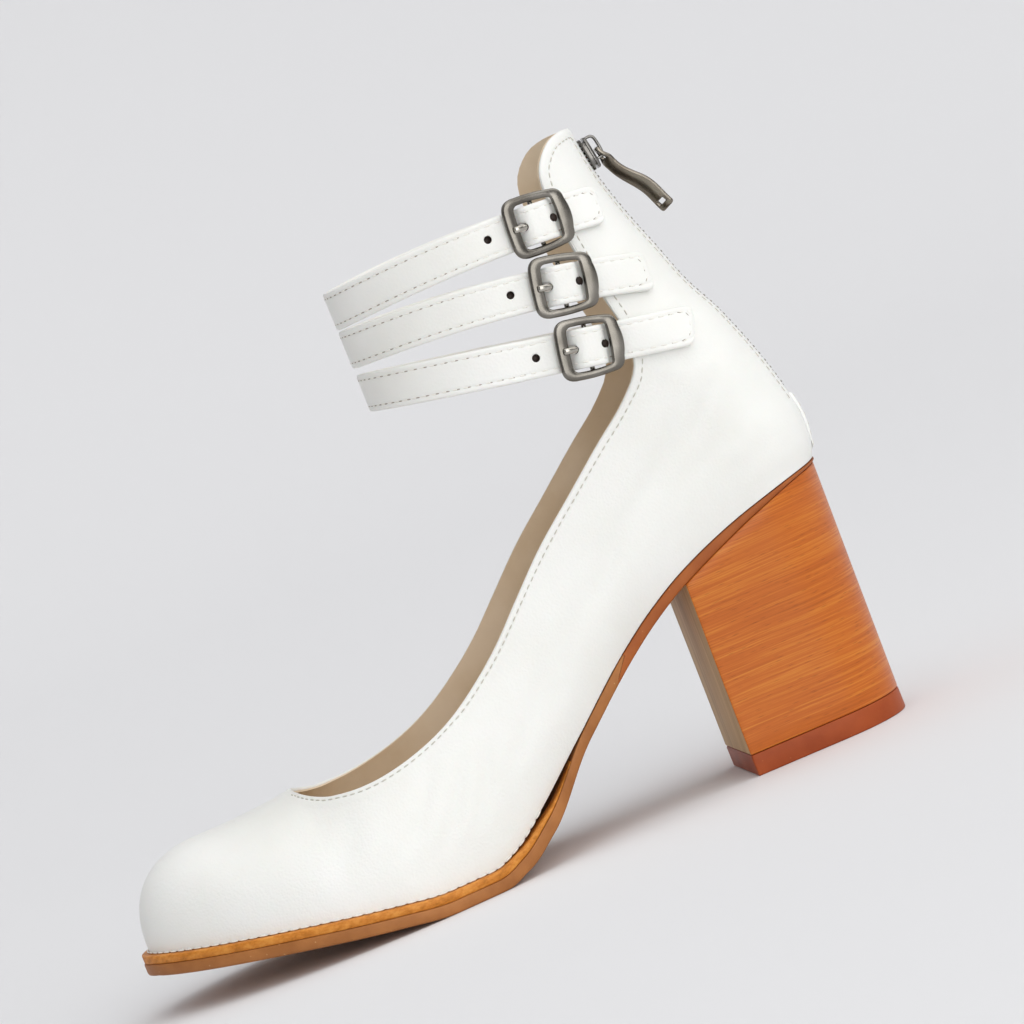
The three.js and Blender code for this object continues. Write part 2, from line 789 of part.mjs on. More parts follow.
function roundedShape(outline, radius) {
  const shape = new THREE.Shape();
  outline.forEach((corner, i) => {
    const before = outline[(i + outline.length - 1) % outline.length];
    const after = outline[(i + 1) % outline.length];
    const start = corner.clone().add(before.clone().sub(corner).setLength(radius));
    const end = corner.clone().add(after.clone().sub(corner).setLength(radius));
    if (i === 0) {
      shape.moveTo(start.x, start.y);
    } else {
      shape.lineTo(start.x, start.y);
    }
    shape.quadraticCurveTo(corner.x, corner.y, end.x, end.y);
  });
  shape.closePath();
  return shape;
}

function rectangle(length, height, radius, centre = 0) {
  const corners = [[-1, -1], [1, -1], [1, 1], [-1, 1]];
  return roundedShape(
    corners.map(([a, b]) => new THREE.Vector2(centre + (a * length) / 2, (b * height) / 2)),
    radius,
  );
}

function disc(x, y, radius) {
  const shape = new THREE.Shape();
  shape.absarc(x, y, radius, 0, 2 * Math.PI);
  return shape;
}

function ring(x, y, outside, inside) {
  const shape = disc(x, y, outside);
  shape.holes.push(disc(x, y, inside));
  return shape;
}

const slider = backFrame(sliderHeight);
const upAxis = slider.down.clone().negate();
const sideAxis = new THREE.Vector3(0, 1, 0);
const hingeOut = sliderLift + sliderThickness + hingeRise;
const pullHinge = slider.at.clone().addScaledVector(slider.out, hingeOut);

function sliderGeometry() {
  const face = new THREE.Matrix4().makeBasis(sideAxis, upAxis, slider.out);
  const plate = slider.at.clone().addScaledVector(slider.out, sliderLift + sliderThickness / 2);
  face.setPosition(plate);
  const body = placedExtrusion(rectangle(sliderWidth, sliderLength, 2.4), sliderThickness, face);
  const profile = new THREE.Matrix4().makeBasis(upAxis, slider.out, sideAxis);
  profile.setPosition(pullHinge);
  const bridge = placedExtrusion(ring(0, 0, bridgeRadius, bridgeHole), bridgeWidth, profile);
  return fromManifold(body.add(bridge));
}
addPiece('zip_slider', sliderGeometry(), colours.zipMetal);

// The pull tab hangs from the slider's bridge by a cross bar and bends in a shallow S.
function pullGeometry() {
  const lean = THREE.MathUtils.degToRad(pullLean);
  const down = new THREE.Vector3(Math.sin(lean), 0, -Math.cos(lean));
  const out = new THREE.Vector3(-down.z, 0, down.x);
  const half = pullThickness / 2;
  const rings = [];
  for (let i = 0; i <= pullStations; i += 1) {
    const share = i / pullStations;
    const at = THREE.MathUtils.lerp(-half, pullLength, share);
    const bend = pullBend * Math.sin(2 * Math.PI * share) * Math.sin(Math.PI * share);
    const width = (pullWidth / 2) * (share > 0.9 ? Math.sqrt(1 - Math.pow((share - 0.9) / 0.13, 2)) : 1);
    const middle = pullHinge.clone().addScaledVector(down, at).addScaledVector(out, bend);
    const corner = (y, w) => middle.clone().addScaledVector(out, w).setY(y);
    rings.push([corner(-width, half), corner(width, half), corner(width, -half), corner(-width, -half)]);
  }
  const plate = toManifold(loftGeometry(rings));
  const face = new THREE.Matrix4().makeBasis(down, sideAxis, out);
  face.setPosition(pullHinge);
  const windowEnd = bridgeRadius + 2 * gap;
  const windowShape = rectangle(windowEnd - half, bridgeWidth + 3 * gap, 0.3, (windowEnd + half) / 2);
  const slotShape = rectangle(pullSlotLength, pullSlotWidth, 0.9, pullLength - pullSlotInset);
  const cuts = [windowShape, slotShape].map((shape) => placedExtrusion(shape, 10, face));
  return fromManifold(plate.subtract(cuts[0]).subtract(cuts[1]));
}
addPiece('zip_pull', pullGeometry(), colours.zipMetal);

// Ankle straps under the top one: drop below it at the buckle in buckle pitches, drop at the front and
// sag between the two in strap widths, and the tail's length behind the buckle as a share of strapReach.
const strapRows = [
  { name: 'top', drop: 0, frontDrop: 0, sag: 0, tail: 0.2384 },
  { name: 'middle', drop: 1, frontDrop: 1.054, sag: -0.0675, tail: 0.3035 },
  { name: 'bottom', drop: 2.021, frontDrop: 2.234, sag: 0.456, tail: 0.3698 },
];
const buckleX = xOf(buckleAlong);
const strapWaistX = xOf(strapWaistAlong);
const bucklePitch = buckleFrontHeight + buckleGap;

const strapSkin = 2.2 * gap + strapThickness / 2;
const barOut = buckleDepth / 2 + barClearance + strapThickness / 2;
const pinOut = eyeRadius - pinSink + 2 * gap + strapThickness / 2;

// Height of a strap's middle line, worked out from the share of the way from the buckle to the front.
function strapHeight(strap, x) {
  const share = (buckleX - x) / (strapReach + buckleX);
  const fan = strapWidth * (strapFan * share - strapBend * share * share);
  const top = seatHeight + quarterHeight * strapRise + fan;
  const drop = THREE.MathUtils.lerp(bucklePitch * strap.drop, strapWidth * strap.frontDrop, share);
  return top - drop - strapWidth * strap.sag * share * (1 - share);
}

const strapSlope = (strap, x) => (strapHeight(strap, x + 1) - strapHeight(strap, x - 1)) / 2;

// Front edge of the quarter at a height: searched on the edge curve from its top to the ankle's bend.
const edgeSearch = { from: 0.15, to: 0.5, steps: 60 };
function edgeX(z) {
  let best = edgeCurve.getPoint(edgeSearch.from);
  for (let i = 0; i <= edgeSearch.steps; i += 1) {
    const share = i / edgeSearch.steps;
    const point = edgeCurve.getPoint(THREE.MathUtils.lerp(edgeSearch.from, edgeSearch.to, share));
    if (Math.abs(point.z - z) < Math.abs(best.z - z)) {
      best = point;
    }
  }
  return best.x;
}

function slopeLength(face, x, z) {
  const alongX = (face(x + 0.2, z) - face(x - 0.2, z)) / 0.4;
  const alongZ = (face(x, z + 0.2) - face(x, z - 0.2)) / 0.4;
  return Math.hypot(1, alongX, alongZ);
}

// Distance of a strap's middle from the shoe's middle plane, over the quarter and beside the ankle.
function strapSideY(x, z, side) {
  const quarter = (atX, atZ) => Math.abs(upperFace(atX, atZ, side));
  const overQuarter = (atX) => quarter(atX, z) + strapSkin * slopeLength(quarter, atX, z);
  const joinX = edgeX(z) - 1;
  if (x >= joinX) {
    return overQuarter(x);
  }
  const share = THREE.MathUtils.smoothstep(joinX - x, 0, joinX - strapWaistX);
  return THREE.MathUtils.lerp(overQuarter(joinX), strapBow, share);
}

// Places along a strap: the middle of its thickness and its outward direction at an offset across it.
function sidePlace(strap, x, side) {
  const slope = strapSlope(strap, x);
  const face = (atX, atZ) => strapSideY(atX, atZ, side);
  return (across) => {
    const atX = x - (across * slope) / Math.hypot(1, slope);
    const atZ = strapHeight(strap, x) + across / Math.hypot(1, slope);
    const out = new THREE.Vector3(
      -(face(atX + 0.2, atZ) - face(atX - 0.2, atZ)) / 0.4,
      sideSign[side],
      -(face(atX, atZ + 0.2) - face(atX, atZ - 0.2)) / 0.4,
    ).normalize();
    return { at: new THREE.Vector3(atX, sideSign[side] * face(atX, atZ), atZ), out };
  };
}

function frontPlace(strap, angle) {
  const reach = strapReach + strapWaistX;
  const x = strapWaistX - reach * Math.sin(angle);
  const slope = strapSlope(strap, x);
  return (across) => ({
    at: new THREE.Vector3(
      x - across * slope * Math.abs(Math.cos(angle)),
      strapBow * Math.cos(angle),
      strapHeight(strap, x) + across,
    ),
    out: new THREE.Vector3(-strapBow * Math.sin(angle), reach * Math.cos(angle), 0).normalize(),
  });
}

function strapPlaces(strap) {
  const places = [];
  const anchorX = edgeX(strapHeight(strap, buckleX)) + medialLap;
  for (let i = 0; i < sideSteps; i += 1) {
    places.push(sidePlace(strap, THREE.MathUtils.lerp(anchorX, strapWaistX, i / sideSteps), 'inner'));
  }
  for (let i = 0; i <= frontSteps; i += 1) {
    places.push(frontPlace(strap, (Math.PI * i) / frontSteps));
  }
  const tailX = buckleX + strapReach * strap.tail;
  let x = strapWaistX;
  while (x < tailX - strapFineStep) {
    x += Math.abs(x - buckleX) < buckleLength * 0.56 ? strapFineStep : strapStep;
    places.push(sidePlace(strap, Math.min(x, tailX), 'outer'));
  }
  return places;
}

// Frame at the buckle: its first axis runs along the strap, its second up, its third outwards.
function buckleFrame(strap) {
  const start = sidePlace(strap, buckleX - 5, 'outer')(0).at;
  const end = sidePlace(strap, buckleX + 5, 'outer')(0).at;
  const along = end.clone().sub(start).normalize();
  const out = new THREE.Vector3(along.y, -along.x, 0).normalize();
  const up = new THREE.Vector3().crossVectors(out, along).normalize();
  const origin = sidePlace(strap, buckleX, 'outer')(0).at.addScaledVector(out, barOut);
  const basis = new THREE.Matrix4().makeBasis(along, up, out).setPosition(origin);
  return { along, up, out, origin, basis };
}

// The strap lies under the two outer bars and over the tab on the pin between them.
function buckleLift(u) {
  const reach = buckleLength / 2 - buckleBar;
  const share = Math.min(Math.abs(u) / reach, 1);
  return (barOut + pinOut) * (1 - Math.pow(share, puffPower));
}

function strapGeometry(strap) {
  const frame = buckleFrame(strap);
  const places = strapPlaces(strap);
  const middle = (place, across) => {
    const { at, out } = place(across);
    const u = at.clone().sub(frame.origin).dot(frame.along);
    if (at.y < 0 && Math.abs(u) < buckleLength) {
      at.addScaledVector(frame.out, buckleLift(u));
    }
    return { at, out };
  };
  const rings = places.map((place, i) => {
    const half = (strapWidth / 2) * (i === places.length - 1 ? tailEndShare : 1);
    const corner = (across, side) => {
      const { at, out } = middle(place, across);
      return at.addScaledVector(out, (side * strapThickness) / 2);
    };
    return [corner(half, 1), corner(half, -1), corner(-half, -1), corner(-half, 1)];
  });
  let solid = toManifold(loftGeometry(rings));
  for (const place of [-1, 1]) {
    const hole = disc(pinHoleX + place * holePitch, 0, holeWidth / 2);
    solid = solid.subtract(placedExtrusion(hole, holeCutDepth, frame.basis));
  }
  const slotLength = pinSlotEnd - pinSlotStart;
  const slot = rectangle(slotLength, holeWidth, holeWidth / 2.1, (pinSlotStart + pinSlotEnd) / 2);
  return fromManifold(solid.subtract(placedExtrusion(slot, holeCutDepth, frame.basis)));
}

function buckleFrameGeometry(frame) {
  const half = buckleLength / 2;
  const outside = [
    [-half, -buckleFrontHeight / 2],
    [half, -buckleRearHeight / 2],
    [half, buckleRearHeight / 2],
    [-half, buckleFrontHeight / 2],
  ];
  const window = [
    [-half + buckleBar, -buckleFrontHeight / 2 + buckleRail],
    [half - buckleBar, -strapWidth / 2 - gap],
    [half - buckleBar, strapWidth / 2 + gap],
    [-half + buckleBar, buckleFrontHeight / 2 - buckleRail],
  ];
  const toPoints = (corners) => corners.map(([u, v]) => new THREE.Vector2(u, v));
  const shape = roundedShape(toPoints(outside), 3);
  shape.holes.push(roundedShape(toPoints(window), 0.8));
  let solid = placedExtrusion(shape, buckleDepth, frame.basis);
  const pinSpan = (buckleFrontHeight + buckleRearHeight) / 2 - buckleRail * 0.4;
  const across = new THREE.Matrix4().makeBasis(frame.out, frame.along, frame.up);
  across.setPosition(frame.origin.clone().addScaledVector(frame.out, -pinSink));
  solid = solid.add(placedExtrusion(disc(0, 0, buckleBarRadius), pinSpan, across));
  const lugCentre = (pinSpan + strapWidth) / 4 + gap / 2;
  for (const place of [-1, 1]) {
    const lugBasis = across.clone();
    lugBasis.setPosition(frame.origin.clone()
      .addScaledVector(frame.out, -pinSink / 2)
      .addScaledVector(frame.up, place * lugCentre));
    const lug = rectangle(pinSink + 2 * buckleBarRadius, 4 * buckleBarRadius, 0.4);
    solid = solid.add(placedExtrusion(lug, (pinSpan - strapWidth) / 2 - gap, lugBasis));
  }
  return fromManifold(solid);
}

// Profile plane of a buckle: along the strap and outwards, extruded across the strap.
function profileBasis(frame) {
  const down = frame.up.clone().negate();
  return new THREE.Matrix4().makeBasis(frame.along, frame.out, down).setPosition(frame.origin);
}

function polygon(corners) {
  return new THREE.Shape(corners.map(([u, w]) => new THREE.Vector2(u, w)));
}

function prongGeometry(frame) {
  const basis = profileBasis(frame);
  const eye = placedExtrusion(disc(0, -pinSink, eyeRadius), prongWidth, basis);
  const hole = placedExtrusion(disc(0, -pinSink, buckleBarRadius + gap), prongWidth + 2, basis);
  const rest = buckleDepth / 2 + gap;
  const half = buckleLength / 2;
  const arm = polygon([
    [-0.4, -pinSink + eyeRadius - 0.1],
    [-1.4, -pinSink],
    [-half + buckleBar, rest],
    [-half + prongTipInset, rest],
    [-half + prongTipInset - 0.3, rest + 0.5],
    [-half + prongTipInset + 0.6, rest + prongThickness],
    [-half + buckleBar + 0.3, rest + prongThickness],
  ].reverse());
  return fromManifold(eye.add(placedExtrusion(arm, prongWidth, basis)).subtract(hole));
}

// The tab holds the pin and is sewn to the inside of the quarter.
function tabGeometry(strap, frame) {
  const basis = profileBasis(frame);
  const toLocal = basis.clone().invert();
  const quarter = (x, z) => Math.abs(upperFace(x, z, 'outer'));
  const insidePoint = (x, extra) => {
    const z = strapHeight(strap, x);
    const depth = (wall + tabClearance + extra) * slopeLength(quarter, x, z);
    const local = new THREE.Vector3(x, depth - quarter(x, z), z).applyMatrix4(toLocal);
    return [local.x, local.y];
  };
  const middleZ = frame.origin.z;
  const frontX = Math.min(edgeX(middleZ - tabWidth / 2), edgeX(middleZ + tabWidth / 2)) - gap;
  const rearX = frontX + tabLap;
  const body = polygon([
    [0.4, -pinSink - eyeRadius + 0.1],
    insidePoint(frontX, tabThickness),
    insidePoint(rearX, tabThickness),
    insidePoint(rearX, 0),
    insidePoint(frontX, 0),
    [eyeRadius - 0.2, -pinSink - 0.6],
  ]);
  const eye = placedExtrusion(disc(0, -pinSink, eyeRadius), tabWidth, basis);
  const hole = placedExtrusion(disc(0, -pinSink, buckleBarRadius + gap), tabWidth + 2, basis);
  const notch = placedExtrusion(rectangle(10, 10, 0.1, -2.6), prongWidth + 3 * gap, basis);
  return fromManifold(eye.add(placedExtrusion(body, tabWidth, basis)).subtract(hole).subtract(notch));
}

for (const strap of strapRows) {
  const frame = buckleFrame(strap);
  addPiece(`strap_${strap.name}`, strapGeometry(strap), colours.leather);
  addPiece(`buckle_frame_${strap.name}`, buckleFrameGeometry(frame), colours.buckleMetal);
  addPiece(`buckle_prong_${strap.name}`, prongGeometry(frame), colours.buckleMetal);
  addPiece(`buckle_tab_${strap.name}`, tabGeometry(strap, frame), colours.leather);
}

export default shoe;
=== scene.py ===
# Closed-toe pump with high back quarters, a back zip, three buckled ankle straps and a block heel.
# Left shoe: the toe points to -X, the outer side is -Y, +Z is up. Sizes are named in millimetres.
import math

import bmesh
import bpy
import numpy as np
from mathutils import Matrix, Vector
from mathutils.kdtree import KDTree


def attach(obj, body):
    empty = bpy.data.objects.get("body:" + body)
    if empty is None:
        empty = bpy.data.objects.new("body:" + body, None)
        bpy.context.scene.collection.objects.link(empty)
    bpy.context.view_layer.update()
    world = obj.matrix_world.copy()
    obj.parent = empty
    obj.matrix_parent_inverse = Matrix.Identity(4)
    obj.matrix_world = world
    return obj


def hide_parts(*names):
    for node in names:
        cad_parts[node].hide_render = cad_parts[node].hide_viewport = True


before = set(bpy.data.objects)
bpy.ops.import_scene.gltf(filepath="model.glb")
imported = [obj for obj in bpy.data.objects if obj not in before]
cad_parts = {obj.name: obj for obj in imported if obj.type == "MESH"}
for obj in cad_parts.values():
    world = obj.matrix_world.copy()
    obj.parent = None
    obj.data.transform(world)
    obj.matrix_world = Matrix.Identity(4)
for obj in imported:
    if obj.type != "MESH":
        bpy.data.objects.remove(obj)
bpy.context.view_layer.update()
MM = 0.001

# Camera, floor and light. The shoe stands on a pale sweep under a broad soft sun, with a large softbox on
# its outer side and a small one behind. The camera is rolled, so that the toe points down to the left.
CAMERA_PLACE = (-212.2, -1450.0, 187.3)
CAMERA_TURN = -6.0
CAMERA_RISE = 3.55
CAMERA_ROLL = 22.31
CAMERA_LENS = 176.2
FLOOR_COLOUR = "#E4E4E5"


def linear(hex_code):
    channels = [int(hex_code[i:i + 2], 16) / 255 for i in (1, 3, 5)]
    return tuple(c / 12.92 if c <= 0.04045 else ((c + 0.055) / 1.055) ** 2.4 for c in channels) + (1.0,)


def feed(tree, node, links):
    """Links outputs of other nodes to a node's inputs."""
    for key, socket in links.items():
        tree.links.new(socket, node.inputs[key])


def add_node(tree, kind, settings=None, links=None):
    """Adds a node: its settings are properties or inputs by name or number, and links are its inputs."""
    node = tree.nodes.new(kind)
    for key, value in (settings or {}).items():
        if isinstance(key, str) and key in node.bl_rna.properties:
            setattr(node, key, value)
        else:
            node.inputs[key].default_value = value
    feed(tree, node, links or {})
    return node


def new_material(name, settings):
    material = bpy.data.materials.new(name)
    material.use_nodes = True
    tree = material.node_tree
    shader = tree.nodes["Principled BSDF"]
    for key, value in settings.items():
        shader.inputs[key].default_value = value
    place = add_node(tree, "ShaderNodeTexCoord").outputs["Object"]
    return material, tree, shader, place


def add_camera():
    turn = math.radians(CAMERA_TURN)
    rise = math.radians(CAMERA_RISE)
    roll = math.radians(CAMERA_ROLL)
    back = Vector((math.sin(turn) * math.cos(rise), -math.cos(turn) * math.cos(rise), math.sin(rise)))
    level = (-back).cross(Vector((0, 0, 1))).normalized()
    upright = level.cross(-back)
    right = math.cos(roll) * level - math.sin(roll) * upright
    up = math.sin(roll) * level + math.cos(roll) * upright
    data = bpy.data.cameras.new("shoe_camera")
    data.lens = CAMERA_LENS
    data.sensor_width = 36.0
    data.clip_end = 50.0
    camera = bpy.data.objects.new("shoe_camera", data)
    turned = Matrix((right, up, back)).transposed().to_4x4()
    camera.matrix_world = Matrix.Translation(Vector(CAMERA_PLACE) * MM) @ turned
    bpy.context.collection.objects.link(camera)
    bpy.context.scene.camera = camera


def add_floor():
    """A floor that sweeps up into a wall well behind the shoe."""
    front_edge = -6.0
    flat_end = 1.6
    bend = 2.2
    bend_steps = 12
    wall_top = 7.0
    half_width = 8.0
    profile = [(front_edge, 0.0), (flat_end, 0.0)]
    for step in range(1, bend_steps + 1):
        angle = math.radians(90 * step / bend_steps)
        profile.append((flat_end + bend * math.sin(angle), bend - bend * math.cos(angle)))
    profile.append((flat_end + bend, wall_top))
    points = [(x, y, z) for x in (-half_width, half_width) for y, z in profile]
    count = len(profile)
    faces = [(i, count + i, count + i + 1, i + 1) for i in range(count - 1)]
    mesh = bpy.data.meshes.new("studio_sweep")
    mesh.from_pydata(points, [], faces)
    mesh.polygons.foreach_set("use_smooth", [True] * len(mesh.polygons))
    sweep = bpy.data.objects.new("studio_sweep", mesh)
    bpy.context.collection.objects.link(sweep)
    paper = {"Base Color": linear(FLOOR_COLOUR), "Roughness": 0.9}
    material, tree, shader, place = new_material("seamless_paper", paper)
    # fibres of about 1 mm, coarser than the paper's own so that they show
    fibre = add_node(tree, "ShaderNodeTexNoise", {"Scale": 900.0, "Detail": 2.0}, {"Vector": place})
    bump = add_node(tree, "ShaderNodeBump", {"Strength": 0.03, "Distance": 0.0002},
                    {"Height": fibre.outputs["Fac"]})
    feed(tree, shader, {"Normal": bump.outputs["Normal"]})
    mesh.materials.append(material)


def add_light(name, place, aim, size, power):
    data = bpy.data.lights.new(name, "AREA")
    data.shape = "DISK"
    data.size = size
    data.energy = power
    light = bpy.data.objects.new(name, data)
    light.location = place
    light.rotation_euler = (Vector(aim) - Vector(place)).to_track_quat("-Z", "Y").to_euler()
    bpy.context.collection.objects.link(light)


def add_sun(name, toward, spread, power):
    data = bpy.data.lights.new(name, "SUN")
    data.angle = math.radians(spread)
    data.energy = power
    light = bpy.data.objects.new(name, data)
    light.rotation_euler = Vector(toward).to_track_quat("Z", "Y").to_euler()
    bpy.context.collection.objects.link(light)


add_camera()
add_floor()
add_light("outer_softbox", (0.3, -2.3, 0.5), (-0.05, 0, 0.1), 1.5, 16)
add_light("back_softbox", (1.5, -0.5, 0.7), (0, 0, 0.08), 0.5, 1.6)
add_sun("overhead_sun", (0.45, -0.5, 1.0), 75, 1.4)
world = bpy.data.worlds.new("studio_air")
world.use_nodes = True
sky = world.node_tree
direction = add_node(sky, "ShaderNodeTexCoord").outputs["Generated"]
rise = add_node(sky, "ShaderNodeSeparateXYZ", {}, {"Vector": direction}).outputs["Z"]
brightness = {"From Min": 0.05, "From Max": 0.7, "To Min": 0.26, "To Max": 0.62}
glow = add_node(sky, "ShaderNodeMapRange", brightness, {"Value": rise})
sky.nodes["Background"].inputs["Color"].default_value = linear("#F6F6F8")
sky.links.new(glow.outputs["Result"], sky.nodes["Background"].inputs["Strength"])
bpy.context.scene.world = world
bpy.context.scene.view_settings.view_transform = "Standard"

# Upper: vamp and quarters cut from white coated leather, lasted over the forme and closed at the back.
# The top edge is folded and stitched 3 mm in, nearing 1.45 mm at the throat, and the back seam is open
# above for the zip.
LAST_LENGTH = 234.0
BALL_WIDTH = 77.0
TOE_SWING = 3.0
SWING_START = 0.68
SEAT_RISE = 71.8
TOE_SPRING = 13.0
VAMP_HEIGHT = 36.4
QUARTER_HEIGHT = 116.3
BALL_HEIGHT = 6.5
HEEL_ROUND = 26.0
HEEL_ROUND_GROWTH = 0.04
ANKLE_FLARE = 1.8
TOE_ROUND = 58.0
TOE_BOX_ROUND = 27.0
TOE_BOX_POWER = 2.35
FLANK_RISE = 18.0
WALL = 1.9
GAP = 0.3
BACK_X = 28.0
TOE_X = BACK_X - LAST_LENGTH
SEAT_HEIGHT = BALL_HEIGHT + SEAT_RISE
ZIP_BOTTOM = 98.5
ZIP_SLOT = 5.2
ARCH_POWER = 2.3
TOE_POWER = 1.9
THROAT_JOIN = 0.632
THROAT_FRONT = 0.761
THROAT_OPEN = 0.86
THROAT_FOOT = 0.79
THROAT_CURVE = 1.7
JOIN_REACH = 0.154
JOIN_EASE = 0.0065
LEATHER_WALL = 1.25
STITCH_INSET = 3.0
THROAT_STITCH_INSET = 1.45
SEAM_INSET = 7.8

# along, rise behind the ball, spring before it
FEATHER_ROWS = [
    (0, 1, 0), (0.046, 0.978, 0), (0.105, 0.934, 0), (0.16, 0.878, 0), (0.22, 0.798, 0), (0.273, 0.703, 0),
    (0.33, 0.575, 0), (0.421, 0.333, 0), (0.497, 0.135, 0), (0.542, 0.038, 0), (0.578, 0, 0), (0.635, 0, 0),
    (0.7, 0, 0.15), (0.82, 0, 0.5), (1, 0, 1),
]
# along, outer sole, inner sole, outer body, inner body: half widths as shares of the ball's width
WIDTH_ROWS = [
    (0, 0.322, 0.322, 0.352, 0.352), (0.16, 0.322, 0.322, 0.36, 0.36),
    (0.29, 0.31, 0.296, 0.374, 0.368), (0.42, 0.336, 0.284, 0.394, 0.377),
    (0.504, 0.388, 0.318, 0.427, 0.409), (0.59, 0.458, 0.392, 0.473, 0.454),
    (0.697, 0.5, 0.474, 0.506, 0.497), (0.76, 0.494, 0.487, 0.499, 0.499),
    (0.88, 0.478, 0.487, 0.484, 0.495), (1, 0.46, 0.48, 0.466, 0.486),
]
# along, height of the instep ridge as a share of the vamp's height
RIDGE_ROWS = [
    (0, 12.1), (0.12, 11.3), (0.205, 8.8), (0.29, 5.7), (0.376, 3.9), (0.466, 3.13), (0.547, 2.63),
    (0.603, 2.01), (0.65, 1.665), (0.692, 1.365), (0.731, 1.113), (0.748, 1.038), (0.761, 1), (0.833, 0.878),
    (0.906, 0.8), (1, 0.74),
]
# height over the seat and forward lean of the back line, as shares of the quarter's height
BACK_ROWS = [
    (-0.7, 0), (0, 0), (0.03, -0.013), (0.1, -0.016), (0.2, 0.002), (0.423, 0.0757), (0.533, 0.129),
    (0.643, 0.168), (0.752, 0.207), (0.848, 0.235), (0.92, 0.249), (1.1, 0.27),
]
# inset of the top edge from the back line, and its rise over the feather line
EDGE_ROWS = [
    (0.0005, 1.05), (0.0195, 1.062), (0.0424, 1.063), (0.0683, 1.034), (0.0793, 0.991), (0.0956, 0.847),
    (0.1111, 0.674), (0.1227, 0.575), (0.1494, 0.483), (0.1895, 0.44), (0.2554, 0.414), (0.3223, 0.4),
    (0.3816, 0.4), (0.425, 0.39), (0.467, 0.379), (0.51, 0.376), (0.55, 0.363), (0.603, 0.332),
]
# rib, share of the top edge, share of the feather line
RIB_ROWS = [
    (0, 0, 0), (0.04, 0.01, 0.003), (0.09, 0.035, 0.014), (0.15, 0.075, 0.035), (0.22, 0.13, 0.065),
    (0.33, 0.25, 0.12), (0.45, 0.4, 0.2), (0.6, 0.6, 0.34), (0.8, 0.82, 0.53), (1, 1, 0.668),
]


def smooth_column(rows, output):
    """Reads one column of a table as a smooth curve that doesn't overshoot its rows."""
    xs = np.array([row[0] for row in rows], float)
    ys = np.array([row[output] for row in rows], float)
    spans = np.diff(xs)
    steps = np.diff(ys) / spans
    before = steps[:-1]
    after = steps[1:]
    same_way = before * after > 0
    total = np.where(same_way, before + after, 1.0)
    inner = np.where(same_way, 2 * before * after / total, 0.0)
    slopes = np.concatenate(([steps[0]], inner, [steps[-1]]))

    def read(x):
        at = np.clip(x, xs[0], xs[-1])
        i = np.clip(np.searchsorted(xs, at, side="right") - 1, 0, len(spans) - 1)
        t = (at - xs[i]) / spans[i]
        s = 1 - t
        start = ys[i] * s * s * (1 + 2 * t) + slopes[i] * spans[i] * s * s * t
        return start + ys[i + 1] * t * t * (1 + 2 * s) - slopes[i + 1] * spans[i] * t * t * s

    return read


def rounded_rise(distance, reach, power):
    left = 1 - np.clip(distance / reach, 0, 1)
    return (1 - left ** power) ** (1 / power)


def smoothstep(x, low, high):
    t = np.clip((x - low) / (high - low), 0, 1)
    return t * t * (3 - 2 * t)


rise_at = smooth_column(FEATHER_ROWS, 1)
spring_at = smooth_column(FEATHER_ROWS, 2)
ridge_at = smooth_column(RIDGE_ROWS, 1)
forward_at = smooth_column(BACK_ROWS, 1)
edge_share_at = smooth_column(RIB_ROWS, 1)
foot_share_at = smooth_column(RIB_ROWS, 2)
sole_width_at = {-1: smooth_column(WIDTH_ROWS, 1), 1: smooth_column(WIDTH_ROWS, 2)}
body_width_at = {-1: smooth_column(WIDTH_ROWS, 3), 1: smooth_column(WIDTH_ROWS, 4)}


def along_of(x):
    return (BACK_X - x) / LAST_LENGTH


def x_of(along):
    return BACK_X - along * LAST_LENGTH


def feather_height(x):
    return BALL_HEIGHT + SEAT_RISE * rise_at(along_of(x)) + TOE_SPRING * spring_at(along_of(x))


def ridge_rise(x):
    return VAMP_HEIGHT * ridge_at(along_of(x)) * rounded_rise(x - TOE_X, TOE_BOX_ROUND, TOE_BOX_POWER)


def swing(x):
    return TOE_SWING * smoothstep(along_of(x), SWING_START, 1)


def back_line_x(z):
    return BACK_X - QUARTER_HEIGHT * forward_at((z - SEAT_HEIGHT) / QUARTER_HEIGHT)


def upper_face(x, z, side):
    """Outer face of the upper: y at a place in the side view, on the outer (-1) or inner (1) side."""
    along = along_of(x)
    height = z - feather_height(x)
    flank = 1 - (1 - np.clip(height / FLANK_RISE, 0, 1)) ** 2
    flare = ANKLE_FLARE * smoothstep(height, FLANK_RISE, 3 * FLANK_RISE) * smoothstep(-along, -0.4, -0.15)
    sole = BALL_WIDTH * sole_width_at[side](along)
    body = BALL_WIDTH * body_width_at[side](along) + flare
    share = np.clip(height / np.maximum(ridge_rise(x), 1e-9), 0, 1)
    arch = (1 - share ** ARCH_POWER) ** (1 / ARCH_POWER)
    back = rounded_rise(back_line_x(z) - x, HEEL_ROUND + HEEL_ROUND_GROWTH * height, 2)
    toe = rounded_rise(x - TOE_X, TOE_ROUND, TOE_POWER)
    return swing(x) + side * (sole + (body - sole) * flank) * toe * back * arch


def edge_points():
    """The top edge's points, settled where inset and rise meet."""
    inset = np.array([row[0] for row in EDGE_ROWS]) * LAST_LENGTH
    rise = np.array([row[1] for row in EDGE_ROWS]) * QUARTER_HEIGHT
    x = np.full(len(inset), BACK_X)
    for _ in range(12):
        z = feather_height(x) + rise
        x = back_line_x(z) - inset
    return np.column_stack((x, z))


